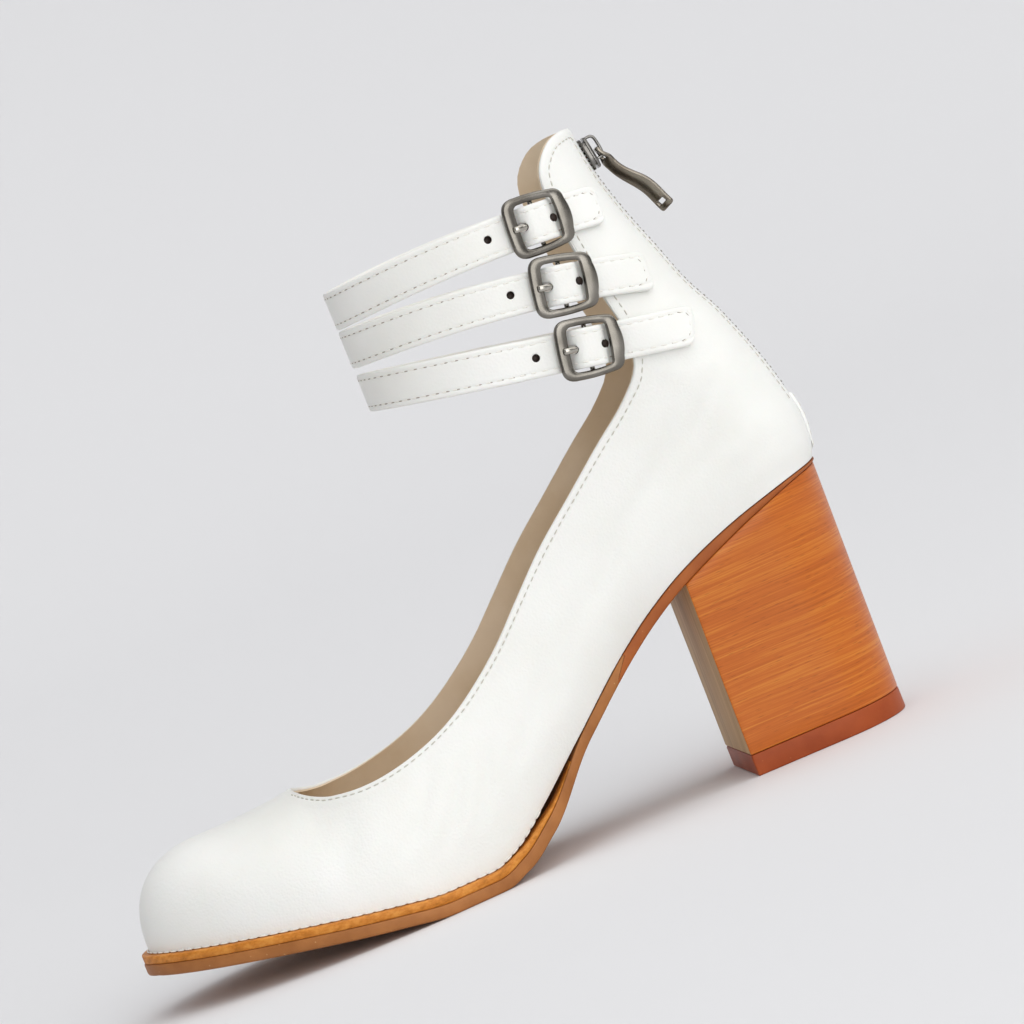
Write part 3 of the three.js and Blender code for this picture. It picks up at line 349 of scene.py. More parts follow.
def spaced_curve(points, shares):
    """Points at shares of the length of a centripetal curve through the given points."""
    padded = np.vstack((2 * points[0] - points[1], points, 2 * points[-1] - points[-2]))
    dense = []
    for i in range(1, len(padded) - 2):
        p = padded[i - 1:i + 3]
        knots = np.concatenate(([0.0], np.cumsum(np.linalg.norm(np.diff(p, axis=0), axis=1) ** 0.5)))
        t = np.linspace(knots[1], knots[2], 24, endpoint=False)[:, None]
        a = [p[k] * (knots[k + 1] - t) / (knots[k + 1] - knots[k]) + p[k + 1] * (t - knots[k])
             / (knots[k + 1] - knots[k]) for k in range(3)]
        b = [a[k] * (knots[k + 2] - t) / (knots[k + 2] - knots[k]) + a[k + 1] * (t - knots[k])
             / (knots[k + 2] - knots[k]) for k in range(2)]
        dense.append(b[0] * (knots[2] - t) / (knots[2] - knots[1]) + b[1] * (t - knots[1])
                     / (knots[2] - knots[1]))
    dense = np.vstack(dense + [points[-1:]])
    lengths = np.concatenate(([0.0], np.cumsum(np.linalg.norm(np.diff(dense, axis=0), axis=1))))
    wanted = shares * lengths[-1]
    return np.column_stack([np.interp(wanted, lengths, dense[:, k]) for k in range(2)])


def upper_ribs(edge_count, throat_count, ridge_count):
    """Ribs from the back seam round to the toe: foot x, top x, top z, and how many lie on the ridge."""
    share = np.linspace(0, 1, edge_count + 1)
    top = spaced_curve(edge_points(), edge_share_at(share))
    foot = x_of(foot_share_at(share))
    share = np.linspace(1, 0, throat_count + 1)[1:]
    throat_x = x_of(THROAT_FRONT + (THROAT_JOIN - THROAT_FRONT) * share * share)
    open_share = THROAT_OPEN * rounded_rise(share ** THROAT_CURVE, 1.0, 2)
    arch = (1 - open_share ** ARCH_POWER) ** (1 / ARCH_POWER)
    throat_z = feather_height(throat_x) + ridge_rise(throat_x) * arch
    throat_foot = x_of(THROAT_FOOT + (foot_share_at(1.0) - THROAT_FOOT) * share)
    share = 1 - (1 - np.arange(1, ridge_count + 1) / ridge_count) ** 2
    ridge_foot = x_of(THROAT_FOOT + (1 - THROAT_FOOT) * share)
    ridge_x = x_of(THROAT_FRONT + (1 - THROAT_FRONT) * share)
    ridge_z = feather_height(ridge_x) + ridge_rise(ridge_x)
    top_x = np.concatenate((top[:, 0], throat_x, ridge_x))
    top_z = np.concatenate((top[:, 1], throat_z, ridge_z))
    reach = round(JOIN_REACH * edge_count)
    eased = slice(edge_count - reach, edge_count + reach)
    for _ in range(round(JOIN_EASE * edge_count ** 2)):
        for line in (top_x, top_z):
            line[eased] = (line[eased] + (np.roll(line, 1)[eased] + np.roll(line, -1)[eased]) / 2) / 2
    return np.concatenate((foot, throat_foot, ridge_foot)), top_x, top_z


def rib_places(ribs, share, side):
    """Places on the upper's outer face, a row of shares from foot to top for each rib."""
    foot_x, top_x, top_z = (column[:, None] for column in ribs)
    foot_gap = back_line_x(feather_height(foot_x)) - foot_x
    top_gap = back_line_x(top_z) - top_x
    top_share = np.clip((top_z - feather_height(top_x)) / np.maximum(ridge_rise(top_x), 1e-6), 0, 1)
    climb = np.sin(share * np.arcsin(top_share))
    inset = foot_gap + (top_gap - foot_gap) * share
    x = foot_x + (top_x - foot_x) * share
    for _ in range(14):
        z = feather_height(x) + ridge_rise(x) * climb
        x = x + 0.7 * (back_line_x(z) - inset - x)
    return np.stack((x, upper_face(x, z, side), z), axis=-1)


def sheet_normals(points, faces):
    """Unit normals of a sheet of four-sided faces, some with two corners in one place."""
    a, b, c, d = (points[faces[:, k]] for k in range(4))
    face_normals = np.cross(c - a, d - b)
    normals = np.zeros_like(points)
    for k in range(4):
        np.add.at(normals, faces[:, k], face_normals)
    return normals / np.maximum(np.linalg.norm(normals, axis=1, keepdims=True), 1e-12)


def upper_sheet(edge_count, throat_count, ridge_count, rows, edge_steps):
    """Outer face of the upper as points and faces, with rows set close together beside the top edge."""
    ribs = upper_ribs(edge_count, throat_count, ridge_count)
    columns = len(ribs[0])
    first_ridge = columns - 1 - ridge_count
    base = np.linspace(0, 1, 61)[None, :] * np.ones((columns, 1))
    tracks = rib_places(ribs, base, -1)
    runs = np.linalg.norm(np.diff(tracks, axis=1), axis=2)
    lengths = np.concatenate((np.zeros((columns, 1)), np.cumsum(runs, axis=1)), axis=1)
    steps = np.array(edge_steps)
    share = np.empty((columns, rows + len(steps)))
    for i in range(columns):
        total = max(lengths[i, -1], 1e-6)
        near = steps * min(1.0, total / (3 * steps[0]))
        wanted = np.concatenate((np.linspace(0, total - near[0], rows, endpoint=False), total - near))
        share[i] = np.interp(wanted, lengths[i], base[i])
    share[:, 0] = 0
    share[:, -1] = 1
    count = share.shape[1]
    sides = {side: rib_places(ribs, share, side) for side in (-1, 1)}
    seam = sides[-1][0, :, 2]
    slot_row = int(np.argmin(np.abs(seam - ZIP_BOTTOM)))
    for side, grid in sides.items():
        grid[0, slot_row, 2] = ZIP_BOTTOM
        grid[0, :, 0] = back_line_x(grid[0, :, 2])
        grid[0, :, 1] = np.where(np.arange(count) < slot_row, 0.0, side * ZIP_SLOT / 2)
        grid[first_ridge:, -1, 1] = swing(grid[first_ridge:, -1, 0])
        grid[-1, :, 1] = swing(TOE_X)
    points = np.concatenate([sides[side].reshape(-1, 3) for side in (-1, 1)])
    index = {side: np.arange(columns * count).reshape(columns, count) + (0 if side < 0 else columns * count)
             for side in (-1, 1)}
    index[1][0, :slot_row] = index[-1][0, :slot_row]
    index[1][first_ridge:, -1] = index[-1][first_ridge:, -1]
    for side in (-1, 1):
        index[side][-1, :] = index[-1][-1, 0]
    faces = []
    for side in (-1, 1):
        grid = index[side]
        quads = np.stack((grid[:-1, :-1], grid[:-1, 1:], grid[1:, 1:], grid[1:, :-1]), axis=-1).reshape(-1, 4)
        faces.append(quads if side < 0 else quads[:, ::-1])
    faces = np.concatenate(faces)
    top_edge = np.concatenate((index[-1][:first_ridge + 1, -1], index[1][:first_ridge + 1, -1]))
    slot_edge = np.concatenate((index[-1][0, slot_row:], index[1][0, slot_row:]))
    return points, faces, top_edge, slot_edge


def distance_to(points, targets):
    tree = KDTree(len(targets))
    for i, target in enumerate(targets):
        tree.insert(target, i)
    tree.balance()
    return np.array([tree.find(point)[2] for point in points])


def new_piece(name, points, faces, materials, smooth_angle=40):
    """A mesh from points in millimetres and faces of any number of corners."""
    mesh = bpy.data.meshes.new(name)
    mesh.from_pydata((np.asarray(points) * MM).tolist(), [], [list(face) for face in faces])
    mesh.validate()
    mesh.polygons.foreach_set("use_smooth", [True] * len(mesh.polygons))
    mesh.set_sharp_from_angle(angle=math.radians(smooth_angle))
    for material in materials:
        mesh.materials.append(material)
    piece = bpy.data.objects.new(name, mesh)
    bpy.context.collection.objects.link(piece)
    return piece


def tidy_mesh(piece, merge=0.001):
    """Merges doubles, drops faces without area and turns all faces outwards."""
    mesh = piece.data
    work = bmesh.new()
    work.from_mesh(mesh)
    bmesh.ops.remove_doubles(work, verts=work.verts, dist=merge * MM)
    bmesh.ops.dissolve_degenerate(work, edges=work.edges, dist=merge * MM)
    bmesh.ops.recalc_face_normals(work, faces=work.faces)
    work.to_mesh(mesh)
    work.free()


def wall_between(points, faces, outer_depth, inner_depth):
    """A closed shell between two depths under a sheet, with a rim along each open edge."""
    normals = sheet_normals(points, faces)
    count = len(points)
    shell = np.concatenate((points - normals * outer_depth[:, None], points - normals * inner_depth[:, None]))
    edges = {}
    for face in faces:
        for k in range(4):
            a, b = int(face[k]), int(face[(k + 1) % 4])
            if a != b:
                edges[(a, b)] = edges.get((a, b), 0) + 1
    rim = [(b, a, count + a, count + b) for a, b in edges if (b, a) not in edges]
    used = [list(dict.fromkeys(int(v) for v in face)) for face in faces]
    used = [face for face in used if len(face) > 2]
    inside = [[count + v for v in reversed(face)] for face in used]
    return shell, used + inside + rim, normals


# Soft creases set in the side view: start x, z, end x, z, half width, depth, side (0 is both).
CREASES = [
    (-128, 22, -112, 40, 3.4, 0.35, -1),
    (-118, 18, -103, 38, 3.0, 0.28, -1),
    (-106, 20, -94, 40, 3.2, 0.22, -1),
    (-124, 20, -108, 41, 3.2, 0.33, 1),
    (-112, 18, -98, 40, 3.0, 0.26, 1),
    (-92, 30, -74, 52, 4.0, 0.3, 0),
    (-76, 42, -58, 64, 4.2, 0.26, 0),
    (-52, 66, -34, 84, 4.6, 0.3, 0),
    (-30, 86, -8, 104, 4.0, 0.34, 0),
    (-12, 96, 8, 112, 3.6, 0.3, 0),
    (-8, 124, 10, 118, 3.2, 0.26, 0),
    (0, 84, 16, 90, 4.0, 0.22, 0),
    (-150, 24, -136, 36, 5.0, 0.2, 0),
]


def crease_height(points):
    """Height of the creases over the smooth face: a trough between two low ridges, fading at the ends."""
    height = np.zeros(len(points))
    for x0, z0, x1, z1, half_width, depth, side in CREASES:
        run = np.array([x1 - x0, z1 - z0], float)
        length = np.linalg.norm(run)
        run /= length
        offset = points[:, [0, 2]] - np.array([x0, z0])
        along = offset @ run
        across = offset @ np.array([-run[1], run[0]]) + 0.9 * np.sin(along / length * 5.0)
        fade = smoothstep(along, -0.25 * length, 0.3 * length)
        fade = fade * smoothstep(-along, -1.25 * length, -0.7 * length)
        t = across / half_width
        here = 1.0 if side == 0 else (np.sign(points[:, 1]) == side)
        height -= depth * (1 - 2 * t * t) * np.exp(-t * t) * fade * here
    return height


def set_ramp(ramp, stops):
    """Sets the stops of a colour ramp: a position and a hex colour each, in order."""
    elements = ramp.color_ramp.elements
    for element, (position, hex_code) in zip(elements, (stops[0], stops[-1])):
        element.position = position
        element.color = linear(hex_code)
    for position, hex_code in stops[1:-1]:
        elements.new(position).color = linear(hex_code)


def white_leather(name, tint="#F1F1ED", grain_size=0.75, grain=0.5):
    """Split leather with a white coat, rolled with a fine grain: soft sheen, small pebbles, faint clouds."""
    coat = {"Coat Weight": 0.08, "Coat Roughness": 0.35, "Subsurface Weight": 0.04, "Subsurface Scale": 0.002}
    material, tree, shader, place = new_material(name, coat)
    # Pebbles of the grain size, about twice the leather's own so that they show, on wrinkles of 2 mm and
    # clouds of 35 mm.
    rolled = {"feature": "SMOOTH_F1", "Scale": 1000 / grain_size, "Smoothness": 0.6, "Randomness": 0.9}
    pebble = add_node(tree, "ShaderNodeTexVoronoi", rolled, {"Vector": place})
    stretch = add_node(tree, "ShaderNodeMapping", {"Scale": (1.0, 1.0, 2.4), "Rotation": (0.0, 0.5, 0.0)},
                       {"Vector": place})
    wrinkle = add_node(tree, "ShaderNodeTexNoise", {"Scale": 420.0, "Detail": 5.0, "Roughness": 0.6},
                       {"Vector": stretch.outputs["Vector"]})
    cloud = add_node(tree, "ShaderNodeTexNoise", {"Scale": 28.0, "Detail": 3.0}, {"Vector": place})
    height = add_node(tree, "ShaderNodeMath", {"operation": "MULTIPLY_ADD", 1: 0.55},
                      {0: wrinkle.outputs["Fac"], 2: pebble.outputs["Distance"]})
    bump = add_node(tree, "ShaderNodeBump", {"Strength": grain, "Distance": 0.00012},
                    {"Height": height.outputs["Value"]})
    shade = add_node(tree, "ShaderNodeValToRGB", {}, {"Fac": cloud.outputs["Fac"]})
    set_ramp(shade, [(0.3, "#EAEAE4"), (0.7, tint)])
    gloss = add_node(tree, "ShaderNodeMapRange", {"To Min": 0.4, "To Max": 0.55},
                     {"Value": cloud.outputs["Fac"]})
    feed(tree, shader, {"Base Color": shade.outputs["Color"], "Roughness": gloss.outputs["Result"],
                        "Normal": bump.outputs["Normal"]})
    return material


upper_leather = white_leather("white_coated_leather")
EDGE_RADIUS = LEATHER_WALL / 2
EDGE_STEPS = [7.0, 5.6, 4.6, 4.0, 3.6, 3.3, 3.0, 2.7, 2.4, 2.0, 1.5, 1.05, 0.62, 0.42, 0.25, 0.11, 0.03, 0.0]
EDGE_RIBS = 104
THROAT_RIBS = 34
RIDGE_RIBS = 46
FACE_ROWS = 46
GROOVE_DEPTH = 0.2
GROOVE_WIDTH = 0.42
FOLD_SWELL = 0.14
points, faces, top_edge, slot_edge = upper_sheet(EDGE_RIBS, THROAT_RIBS, RIDGE_RIBS, FACE_ROWS, EDGE_STEPS)
from_top = distance_to(points, points[top_edge])
from_slot = distance_to(points, points[slot_edge])
from_edge = np.minimum(from_top, from_slot)
roll = EDGE_RADIUS - np.sqrt(np.maximum(EDGE_RADIUS ** 2 - np.maximum(EDGE_RADIUS - from_edge, 0) ** 2, 0))
columns = EDGE_RIBS + THROAT_RIBS + RIDGE_RIBS + 1
rows = FACE_ROWS + len(EDGE_STEPS)
# the stitched row and its trough near the edge from the quarter's front corner to the throat
insets = STITCH_INSET + (THROAT_STITCH_INSET - STITCH_INSET) * smoothstep(np.arange(columns), 20, 100)
from_row = from_top - np.tile(np.repeat(insets, rows), 2)
groove = GROOVE_DEPTH * np.exp(-(from_row / GROOVE_WIDTH) ** 2)
groove = groove * smoothstep(from_slot, SEAM_INSET - 1, SEAM_INSET)
fold = -FOLD_SWELL * smoothstep(from_edge, 0.4, 1.1) * (1 - smoothstep(from_edge, 2.6, 4.6))
outer_depth = np.minimum(roll, 0.93 * EDGE_RADIUS) + groove + fold - crease_height(points)
inner_depth = np.maximum(LEATHER_WALL - roll, outer_depth + 0.08)
shell, shell_faces, normals = wall_between(points, faces, outer_depth, inner_depth)
upper = new_piece("upper_leather_shell", shell, shell_faces, [upper_leather], 60)
tidy_mesh(upper)
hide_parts("upper")
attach(upper, "shoe")

# Stitching: white bonded thread, painted grey for the shade of its trough, sewn by machine. Each row lies
# in the shallow trough that the thread pulls, one stitch at each needle step.
STITCH_PITCH = 2.5
STITCH_LENGTH = 1.75
THREAD_WIDTH = 0.42


def bonded_thread(name, colour_code):
    """Twisted polyester thread with a bonded finish: matt, with fine slanting plies."""
    material, tree, shader, place = new_material(name, {"Base Color": linear(colour_code), "Roughness": 0.6})
    # plies 0.35 mm wide, coarser than the thread's own so that they show
    twist = {"Scale": 900.0, "Distortion": 1.5, "bands_direction": "DIAGONAL"}
    ply = add_node(tree, "ShaderNodeTexWave", twist, {"Vector": place})
    bump = add_node(tree, "ShaderNodeBump", {"Strength": 0.4, "Distance": 0.00008},
                    {"Height": ply.outputs["Fac"]})
    feed(tree, shader, {"Normal": bump.outputs["Normal"]})
    return material


def stitch_tree():
    """Sews one stitch at each step of a path. The path's points carry the way out of the face."""
    tree = bpy.data.node_groups.new("stitch_row", "GeometryNodeTree")
    tree.interface.new_socket("Path", in_out="INPUT", socket_type="NodeSocketGeometry")
    for name, value in (("Pitch", STITCH_PITCH), ("Length", STITCH_LENGTH), ("Width", THREAD_WIDTH)):
        socket = tree.interface.new_socket(name, in_out="INPUT", socket_type="NodeSocketFloat")
        socket.default_value = value * MM
    tree.interface.new_socket("Thread", in_out="INPUT", socket_type="NodeSocketMaterial")
    tree.interface.new_socket("Stitches", in_out="OUTPUT", socket_type="NodeSocketGeometry")
    start = tree.nodes.new("NodeGroupInput").outputs
    line = add_node(tree, "GeometryNodeMeshToCurve", {}, {"Mesh": start["Path"]}).outputs["Curve"]
    steps = add_node(tree, "GeometryNodeResampleCurve", {"mode": "LENGTH"},
                     {"Curve": line, "Length": start["Pitch"]})
    out = add_node(tree, "GeometryNodeInputNamedAttribute", {"data_type": "FLOAT_VECTOR", "Name": "out"})
    tangent = add_node(tree, "GeometryNodeInputTangent").outputs["Tangent"]
    along = add_node(tree, "FunctionNodeAlignRotationToVector", {"axis": "X"}, {"Vector": tangent})
    flat = add_node(tree, "FunctionNodeAlignRotationToVector", {"axis": "Z", "pivot_axis": "X"},
                    {"Rotation": along.outputs["Rotation"], "Vector": out.outputs["Attribute"]})
    bead = add_node(tree, "GeometryNodeMeshUVSphere", {"Segments": 10, "Rings": 7, "Radius": 0.5})
    size = add_node(tree, "ShaderNodeCombineXYZ", {},
                    {"X": start["Length"], "Y": start["Width"], "Z": start["Width"]})
    stitch = add_node(tree, "GeometryNodeTransform", {},
                      {"Geometry": bead.outputs["Mesh"], "Scale": size.outputs[0]})
    row = add_node(tree, "GeometryNodeInstanceOnPoints", {},
                   {"Points": steps.outputs["Curve"], "Instance": stitch.outputs["Geometry"],
                    "Rotation": flat.outputs["Rotation"]})
    solid = add_node(tree, "GeometryNodeRealizeInstances", {}, {"Geometry": row.outputs["Instances"]})
    dressed = add_node(tree, "GeometryNodeSetMaterial", {},
                       {"Geometry": solid.outputs["Geometry"], "Material": start["Thread"]})
    smooth = add_node(tree, "GeometryNodeSetShadeSmooth", {}, {"Geometry": dressed.outputs["Geometry"]})
    end = tree.nodes.new("NodeGroupOutput")
    tree.links.new(smooth.outputs["Geometry"], end.inputs["Stitches"])
    return tree


def run_nodes(piece, tree, values):
    """Runs a node tree on a piece with named inputs and keeps the result as the piece's plain mesh."""
    modifier = piece.modifiers.new(tree.name, "NODES")
    modifier.node_group = tree
    for item in tree.interface.items_tree:
        if item.item_type == "SOCKET" and item.in_out == "INPUT" and item.name in values:
            modifier[item.identifier] = values[item.name]
    piece.update_tag()
    view = bpy.context.evaluated_depsgraph_get()
    mesh = bpy.data.meshes.new_from_object(piece.evaluated_get(view))
    piece.modifiers.clear()
    piece.data = mesh


sewing = stitch_tree()
THREAD_LIFT = 0.08


def sew(name, runs, thread, pitch=STITCH_PITCH, length=STITCH_LENGTH, width=THREAD_WIDTH):
    """Rows of stitches along runs of points in millimetres, each with the outward direction at its points."""
    points = []
    outs = []
    edges = []
    for run_points, run_outs in runs:
        first = len(points)
        points.extend(np.asarray(run_points) * MM)
        outs.extend(run_outs)
        edges.extend((i, i + 1) for i in range(first, len(points) - 1))
    mesh = bpy.data.meshes.new(name)
    mesh.from_pydata([tuple(point) for point in points], edges, [])
    mesh.attributes.new("out", "FLOAT_VECTOR", "POINT").data.foreach_set("vector", np.ravel(outs))
    piece = bpy.data.objects.new(name, mesh)
    bpy.context.collection.objects.link(piece)
    sizes = {"Pitch": pitch * MM, "Length": length * MM, "Width": width * MM}
    run_nodes(piece, sewing, {**sizes, "Thread": thread})
    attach(piece, "shoe")
    return piece


def level_crossing(distance, places, outs, level):
    """First place from the edge where the distance to it reaches a level, or nothing."""
    past = np.nonzero(distance >= level)[0]
    if len(past) == 0 or past[0] == 0:
        return None
    i = past[0]
    t = (level - distance[i - 1]) / (distance[i] - distance[i - 1])
    return places[i - 1] + (places[i] - places[i - 1]) * t, outs[i - 1] + (outs[i] - outs[i - 1]) * t


# the thread is white, and its grey colour is painted shade of the trough it lies in
shaded_upper_thread = bonded_thread("white_thread_grey_painted_shade", "#C9C6BB")
# ribs beside the back seam and rows above the seat that the seam's stitches cross, and the ribs at the toe
# that have no open edge
SEAM_RIBS = 50
SEAM_FIRST_ROW = 8
TOE_RIBS = 30
worn_face = points - normals * (outer_depth - THREAD_LIFT)[:, None]
edge_runs = []
for side in (0, 1):
    block = slice(side * columns * rows, (side + 1) * columns * rows)
    place = worn_face[block].reshape(columns, rows, 3)
    out = normals[block].reshape(columns, rows, 3)
    top_far = from_top[block].reshape(columns, rows)
    slot_far = from_slot[block].reshape(columns, rows)
    found = [level_crossing(top_far[i, ::-1], place[i, ::-1], out[i, ::-1], insets[i])
             for i in range(1, columns - TOE_RIBS)]
    found = [item for item in found if item is not None and np.linalg.norm(item[1]) > 0.5]
    # beside the zip the row along the top ends where the row along the seam begins
    found = [item for item in found if abs(item[0][1]) > SEAM_INSET + ZIP_SLOT / 2 or item[0][0] < -8]
    near = slice(0, SEAM_RIBS)
    seam = [level_crossing(slot_far[near, j], place[near, j], out[near, j], SEAM_INSET)
            for j in range(SEAM_FIRST_ROW, rows)]
    seam = [item for item in seam if item is not None and item[0][2] > ZIP_BOTTOM - 2]
    seam = [item for item in seam if item[0][2] < found[0][0][2] + 0.4]
    run = seam + found
    edge_runs.append(([item[0] for item in run], [item[1] for item in run]))
sew("topline_stitches", edge_runs, shaded_upper_thread)

# Lining: nude pigskin-look lining glued inside the leather, its edge trimmed just under the fold.
LINING_TRIM = 0.9
LINING_GAP = 0.03
PORE_SPACING = 1.6


def pig_lining(name, base, dark):
    """Coated microfibre lining: matt and warm, with small scattered pores and a soft mottle."""
    material, tree, shader, place = new_material(name, {"Roughness": 0.68})
    pores = add_node(tree, "ShaderNodeTexVoronoi", {"Scale": 1000 / PORE_SPACING, "Randomness": 0.8},
                     {"Vector": place})
    pit = add_node(tree, "ShaderNodeMapRange", {"From Max": 0.22}, {"Value": pores.outputs["Distance"]})
    # a mottle of about 17 mm
    mottle = add_node(tree, "ShaderNodeTexNoise", {"Scale": 60.0, "Detail": 4.0}, {"Vector": place})
    shade = add_node(tree, "ShaderNodeValToRGB", {}, {"Fac": mottle.outputs["Fac"]})
    set_ramp(shade, [(0.35, dark), (0.65, base)])
    bump = add_node(tree, "ShaderNodeBump", {"Strength": 0.4, "Distance": 0.0001},
                    {"Height": pit.outputs["Result"]})
    feed(tree, shader, {"Base Color": shade.outputs["Color"], "Normal": bump.outputs["Normal"]})
    return material


nude_lining = pig_lining("nude_microfibre_lining", "#E2CFB5", "#D8C2A4")
points, faces, top_edge, slot_edge = upper_sheet(61, 20, 26, 26, [9.0, 6.0, 3.5, 2.0, LINING_TRIM])
outer_depth = np.full(len(points), LEATHER_WALL + LINING_GAP)
inner_depth = np.full(len(points), WALL)
shell, shell_faces, normals = wall_between(points, faces, outer_depth, inner_depth)
lining = new_piece("lining_shell", shell, shell_faces, [nude_lining], 50)
tidy_mesh(lining)
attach(lining, "shoe")

# Soles: a moulded brown outsole under the forepart and waist, and a waxed board behind the splice, with a
# tan welt between the upper and the outsole. All are glued, trimmed and rounded at their edges.
OUTSOLE_THICKNESS = 3.6
WELT_THICKNESS = 2.3
WAIST_THICKNESS = 3.2
WELT_LEDGE = 2.8
WELT_LAP = 4.8
WELT_END = 0.437
WELT_FEATHER = 0.05
SEAT_LEDGE = 0.3
SEAT_THINNING = 0.72
SEAT_THIN_FROM = -20.0
WAIST_BLEND = (0.4, 0.49)
SPLICE = 0.335
SPLICE_SLANT = 5.0
INSOLE_THICKNESS = 1.6
FLECK_SPACING = 3.2


def outline_y(x, side, ledge):
    """Edge of the sole on one side, a ledge's width outside the feather line."""
    toe = rounded_rise(x - TOE_X + ledge, TOE_ROUND + ledge, TOE_POWER)
    heel = rounded_rise(BACK_X + ledge - x, HEEL_ROUND + ledge, 2)
    return swing(x) + side * (BALL_WIDTH * sole_width_at[side](along_of(x)) + ledge) * toe * heel


def upright_factor(x):
    """Upright height of a sloping layer as a share of its thickness."""
    slope = (feather_height(x + 1) - feather_height(x - 1)) / 2
    return np.sqrt(1 + slope * slope)


def forepart(x):
    return smoothstep(along_of(x), *WAIST_BLEND)


def sole_top(x):
    return feather_height(x) - (GAP + (WELT_THICKNESS + GAP) * forepart(x)) * upright_factor(x)


def sole_bottom(x):
    thickness = WAIST_THICKNESS + (OUTSOLE_THICKNESS - WAIST_THICKNESS) * forepart(x)
    thickness = thickness * (1 - SEAT_THINNING * smoothstep(x, SEAT_THIN_FROM, BACK_X))
    return sole_top(x) - thickness * upright_factor(x)


def sole_ledge(x):
    return SEAT_LEDGE + (WELT_LEDGE - SEAT_LEDGE) * forepart(x)


def ring_faces(rows, count, looped=False):
    """Faces over rows of points that each go round once: a tube with flat ends, or a closed loop."""
    faces = []
    for r in range(rows if looped else rows - 1):
        here = r * count
        there = (r + 1) % rows * count
        for i in range(count):
            after = (i + 1) % count
            faces.append((here + i, here + after, there + after, there + i))
    if not looped:
        faces += [tuple(range(count)), tuple(range((rows - 1) * count, rows * count))]
    return faces


def plate(name, start_x, tip_x, stations, ledge_at, top_at, bottom_at, slant, materials):
    """A sole plate from a splice to a round tip: rings of points with rounded top and bottom edges."""
    share = 1 - (1 - np.linspace(0, 1, stations)) ** 2
    grip = slant / 2 * (np.arange(stations) == 0)
    toward = np.sign(tip_x - start_x)
    profile = [(0.5, 0.0, 0), (0.15, 0.12, 0), (0.0, 0.5, 0), (0.0, 0.8, 1), (0.2, 0.25, 1), (0.7, 0.0, 1)]
    tracks = []
    for side, order in ((-1, profile), (1, profile[::-1])):
        for inset, drop, at_bottom in order:
            tip = tip_x - toward * inset
            x = start_x + (tip - start_x) * share + (grip if not at_bottom else -grip)
            y = outline_y(x, side, ledge_at(x) - inset)
            z = bottom_at(x) + drop if at_bottom else top_at(x) - drop
            tracks.append(np.stack((x, y, z), axis=-1))
    rings = np.stack(tracks, axis=1)
    piece = new_piece(name, rings.reshape(-1, 3), ring_faces(*rings.shape[:2]), materials, 50)
    tidy_mesh(piece)
    return piece


def moulded_rubber(name, base, dark, fleck):
    """Moulded rubber or waxed board with cork in it: satin, faintly clouded, with light flecks and scuffs."""
    material, tree, shader, place = new_material(name, {"Roughness": 0.5, "Specular IOR Level": 0.25})
    # clouds of 9 mm and a grit of 0.7 mm, coarser than the real grit so that it shows
    cloud = add_node(tree, "ShaderNodeTexNoise", {"Scale": 110.0, "Detail": 6.0}, {"Vector": place})
    shade = add_node(tree, "ShaderNodeValToRGB", {}, {"Fac": cloud.outputs["Fac"]})
    set_ramp(shade, [(0.35, dark), (0.65, base)])
    flecks = add_node(tree, "ShaderNodeTexVoronoi", {"Scale": 1000 / FLECK_SPACING}, {"Vector": place})
    spot = {"From Min": 0.05, "From Max": 0.09, "To Min": 0.55, "To Max": 0.0}
    near = add_node(tree, "ShaderNodeMapRange", spot, {"Value": flecks.outputs["Distance"]})
    mixed = add_node(tree, "ShaderNodeMix", {"data_type": "RGBA", 7: linear(fleck)},
                     {"Factor": near.outputs["Result"], 6: shade.outputs["Color"]})
    grit = add_node(tree, "ShaderNodeTexNoise", {"Scale": 1400.0, "Detail": 3.0}, {"Vector": place})
    bump = add_node(tree, "ShaderNodeBump", {"Strength": 0.35, "Distance": 0.0001},
                    {"Height": grit.outputs["Fac"]})
    feed(tree, shader, {"Base Color": mixed.outputs[2], "Normal": bump.outputs["Normal"]})
    return material


def tan_welt(name):
    """Vegetable-tanned strip with a waxed edge: amber, darker along pores and fibres, with a low sheen."""
    material, tree, shader, place = new_material(name, {"Roughness": 0.48, "Specular IOR Level": 0.25})
    # fibres and pores of 3 mm and finer
    stretch = add_node(tree, "ShaderNodeMapping", {"Scale": (1.0, 1.0, 1.6)}, {"Vector": place})
    fibre = add_node(tree, "ShaderNodeTexNoise", {"Scale": 320.0, "Detail": 8.0, "Roughness": 0.7},
                     {"Vector": stretch.outputs["Vector"]})
    shade = add_node(tree, "ShaderNodeValToRGB", {}, {"Fac": fibre.outputs["Fac"]})
    set_ramp(shade, [(0.32, "#A5641A"), (0.48, "#C87C2C"), (0.62, "#D8913F")])
    bump = add_node(tree, "ShaderNodeBump", {"Strength": 0.6, "Distance": 0.00015},
                    {"Height": fibre.outputs["Fac"]})
    feed(tree, shader, {"Base Color": shade.outputs["Color"], "Normal": bump.outputs["Normal"]})
    return material


outsole_rubber = moulded_rubber("brown_moulded_rubber", "#AD713E", "#9A6132", "#CFA470")
seat_board = moulded_rubber("waxed_sole_edge", "#AA5F2C", "#985024", "#C08048")
outsole = plate("outsole_moulding", x_of(SPLICE) - GAP / 2, TOE_X - WELT_LEDGE, 200, sole_ledge, sole_top,
                sole_bottom, SPLICE_SLANT, [outsole_rubber])
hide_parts("outsole")
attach(outsole, "shoe")
seat_sole = plate("seat_sole_board", x_of(SPLICE) + GAP / 2, BACK_X + SEAT_LEDGE, 90, sole_ledge, sole_top,
                  sole_bottom, SPLICE_SLANT, [seat_board])
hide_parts("seat_sole")
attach(seat_sole, "shoe")


def insole_top(x):
    return feather_height(x) + INSOLE_THICKNESS


insole_inset = -(LEATHER_WALL + 2 * GAP)
sock_joint = x_of(0.3)


def sock_ledge(x):
    return insole_inset + 0 * x


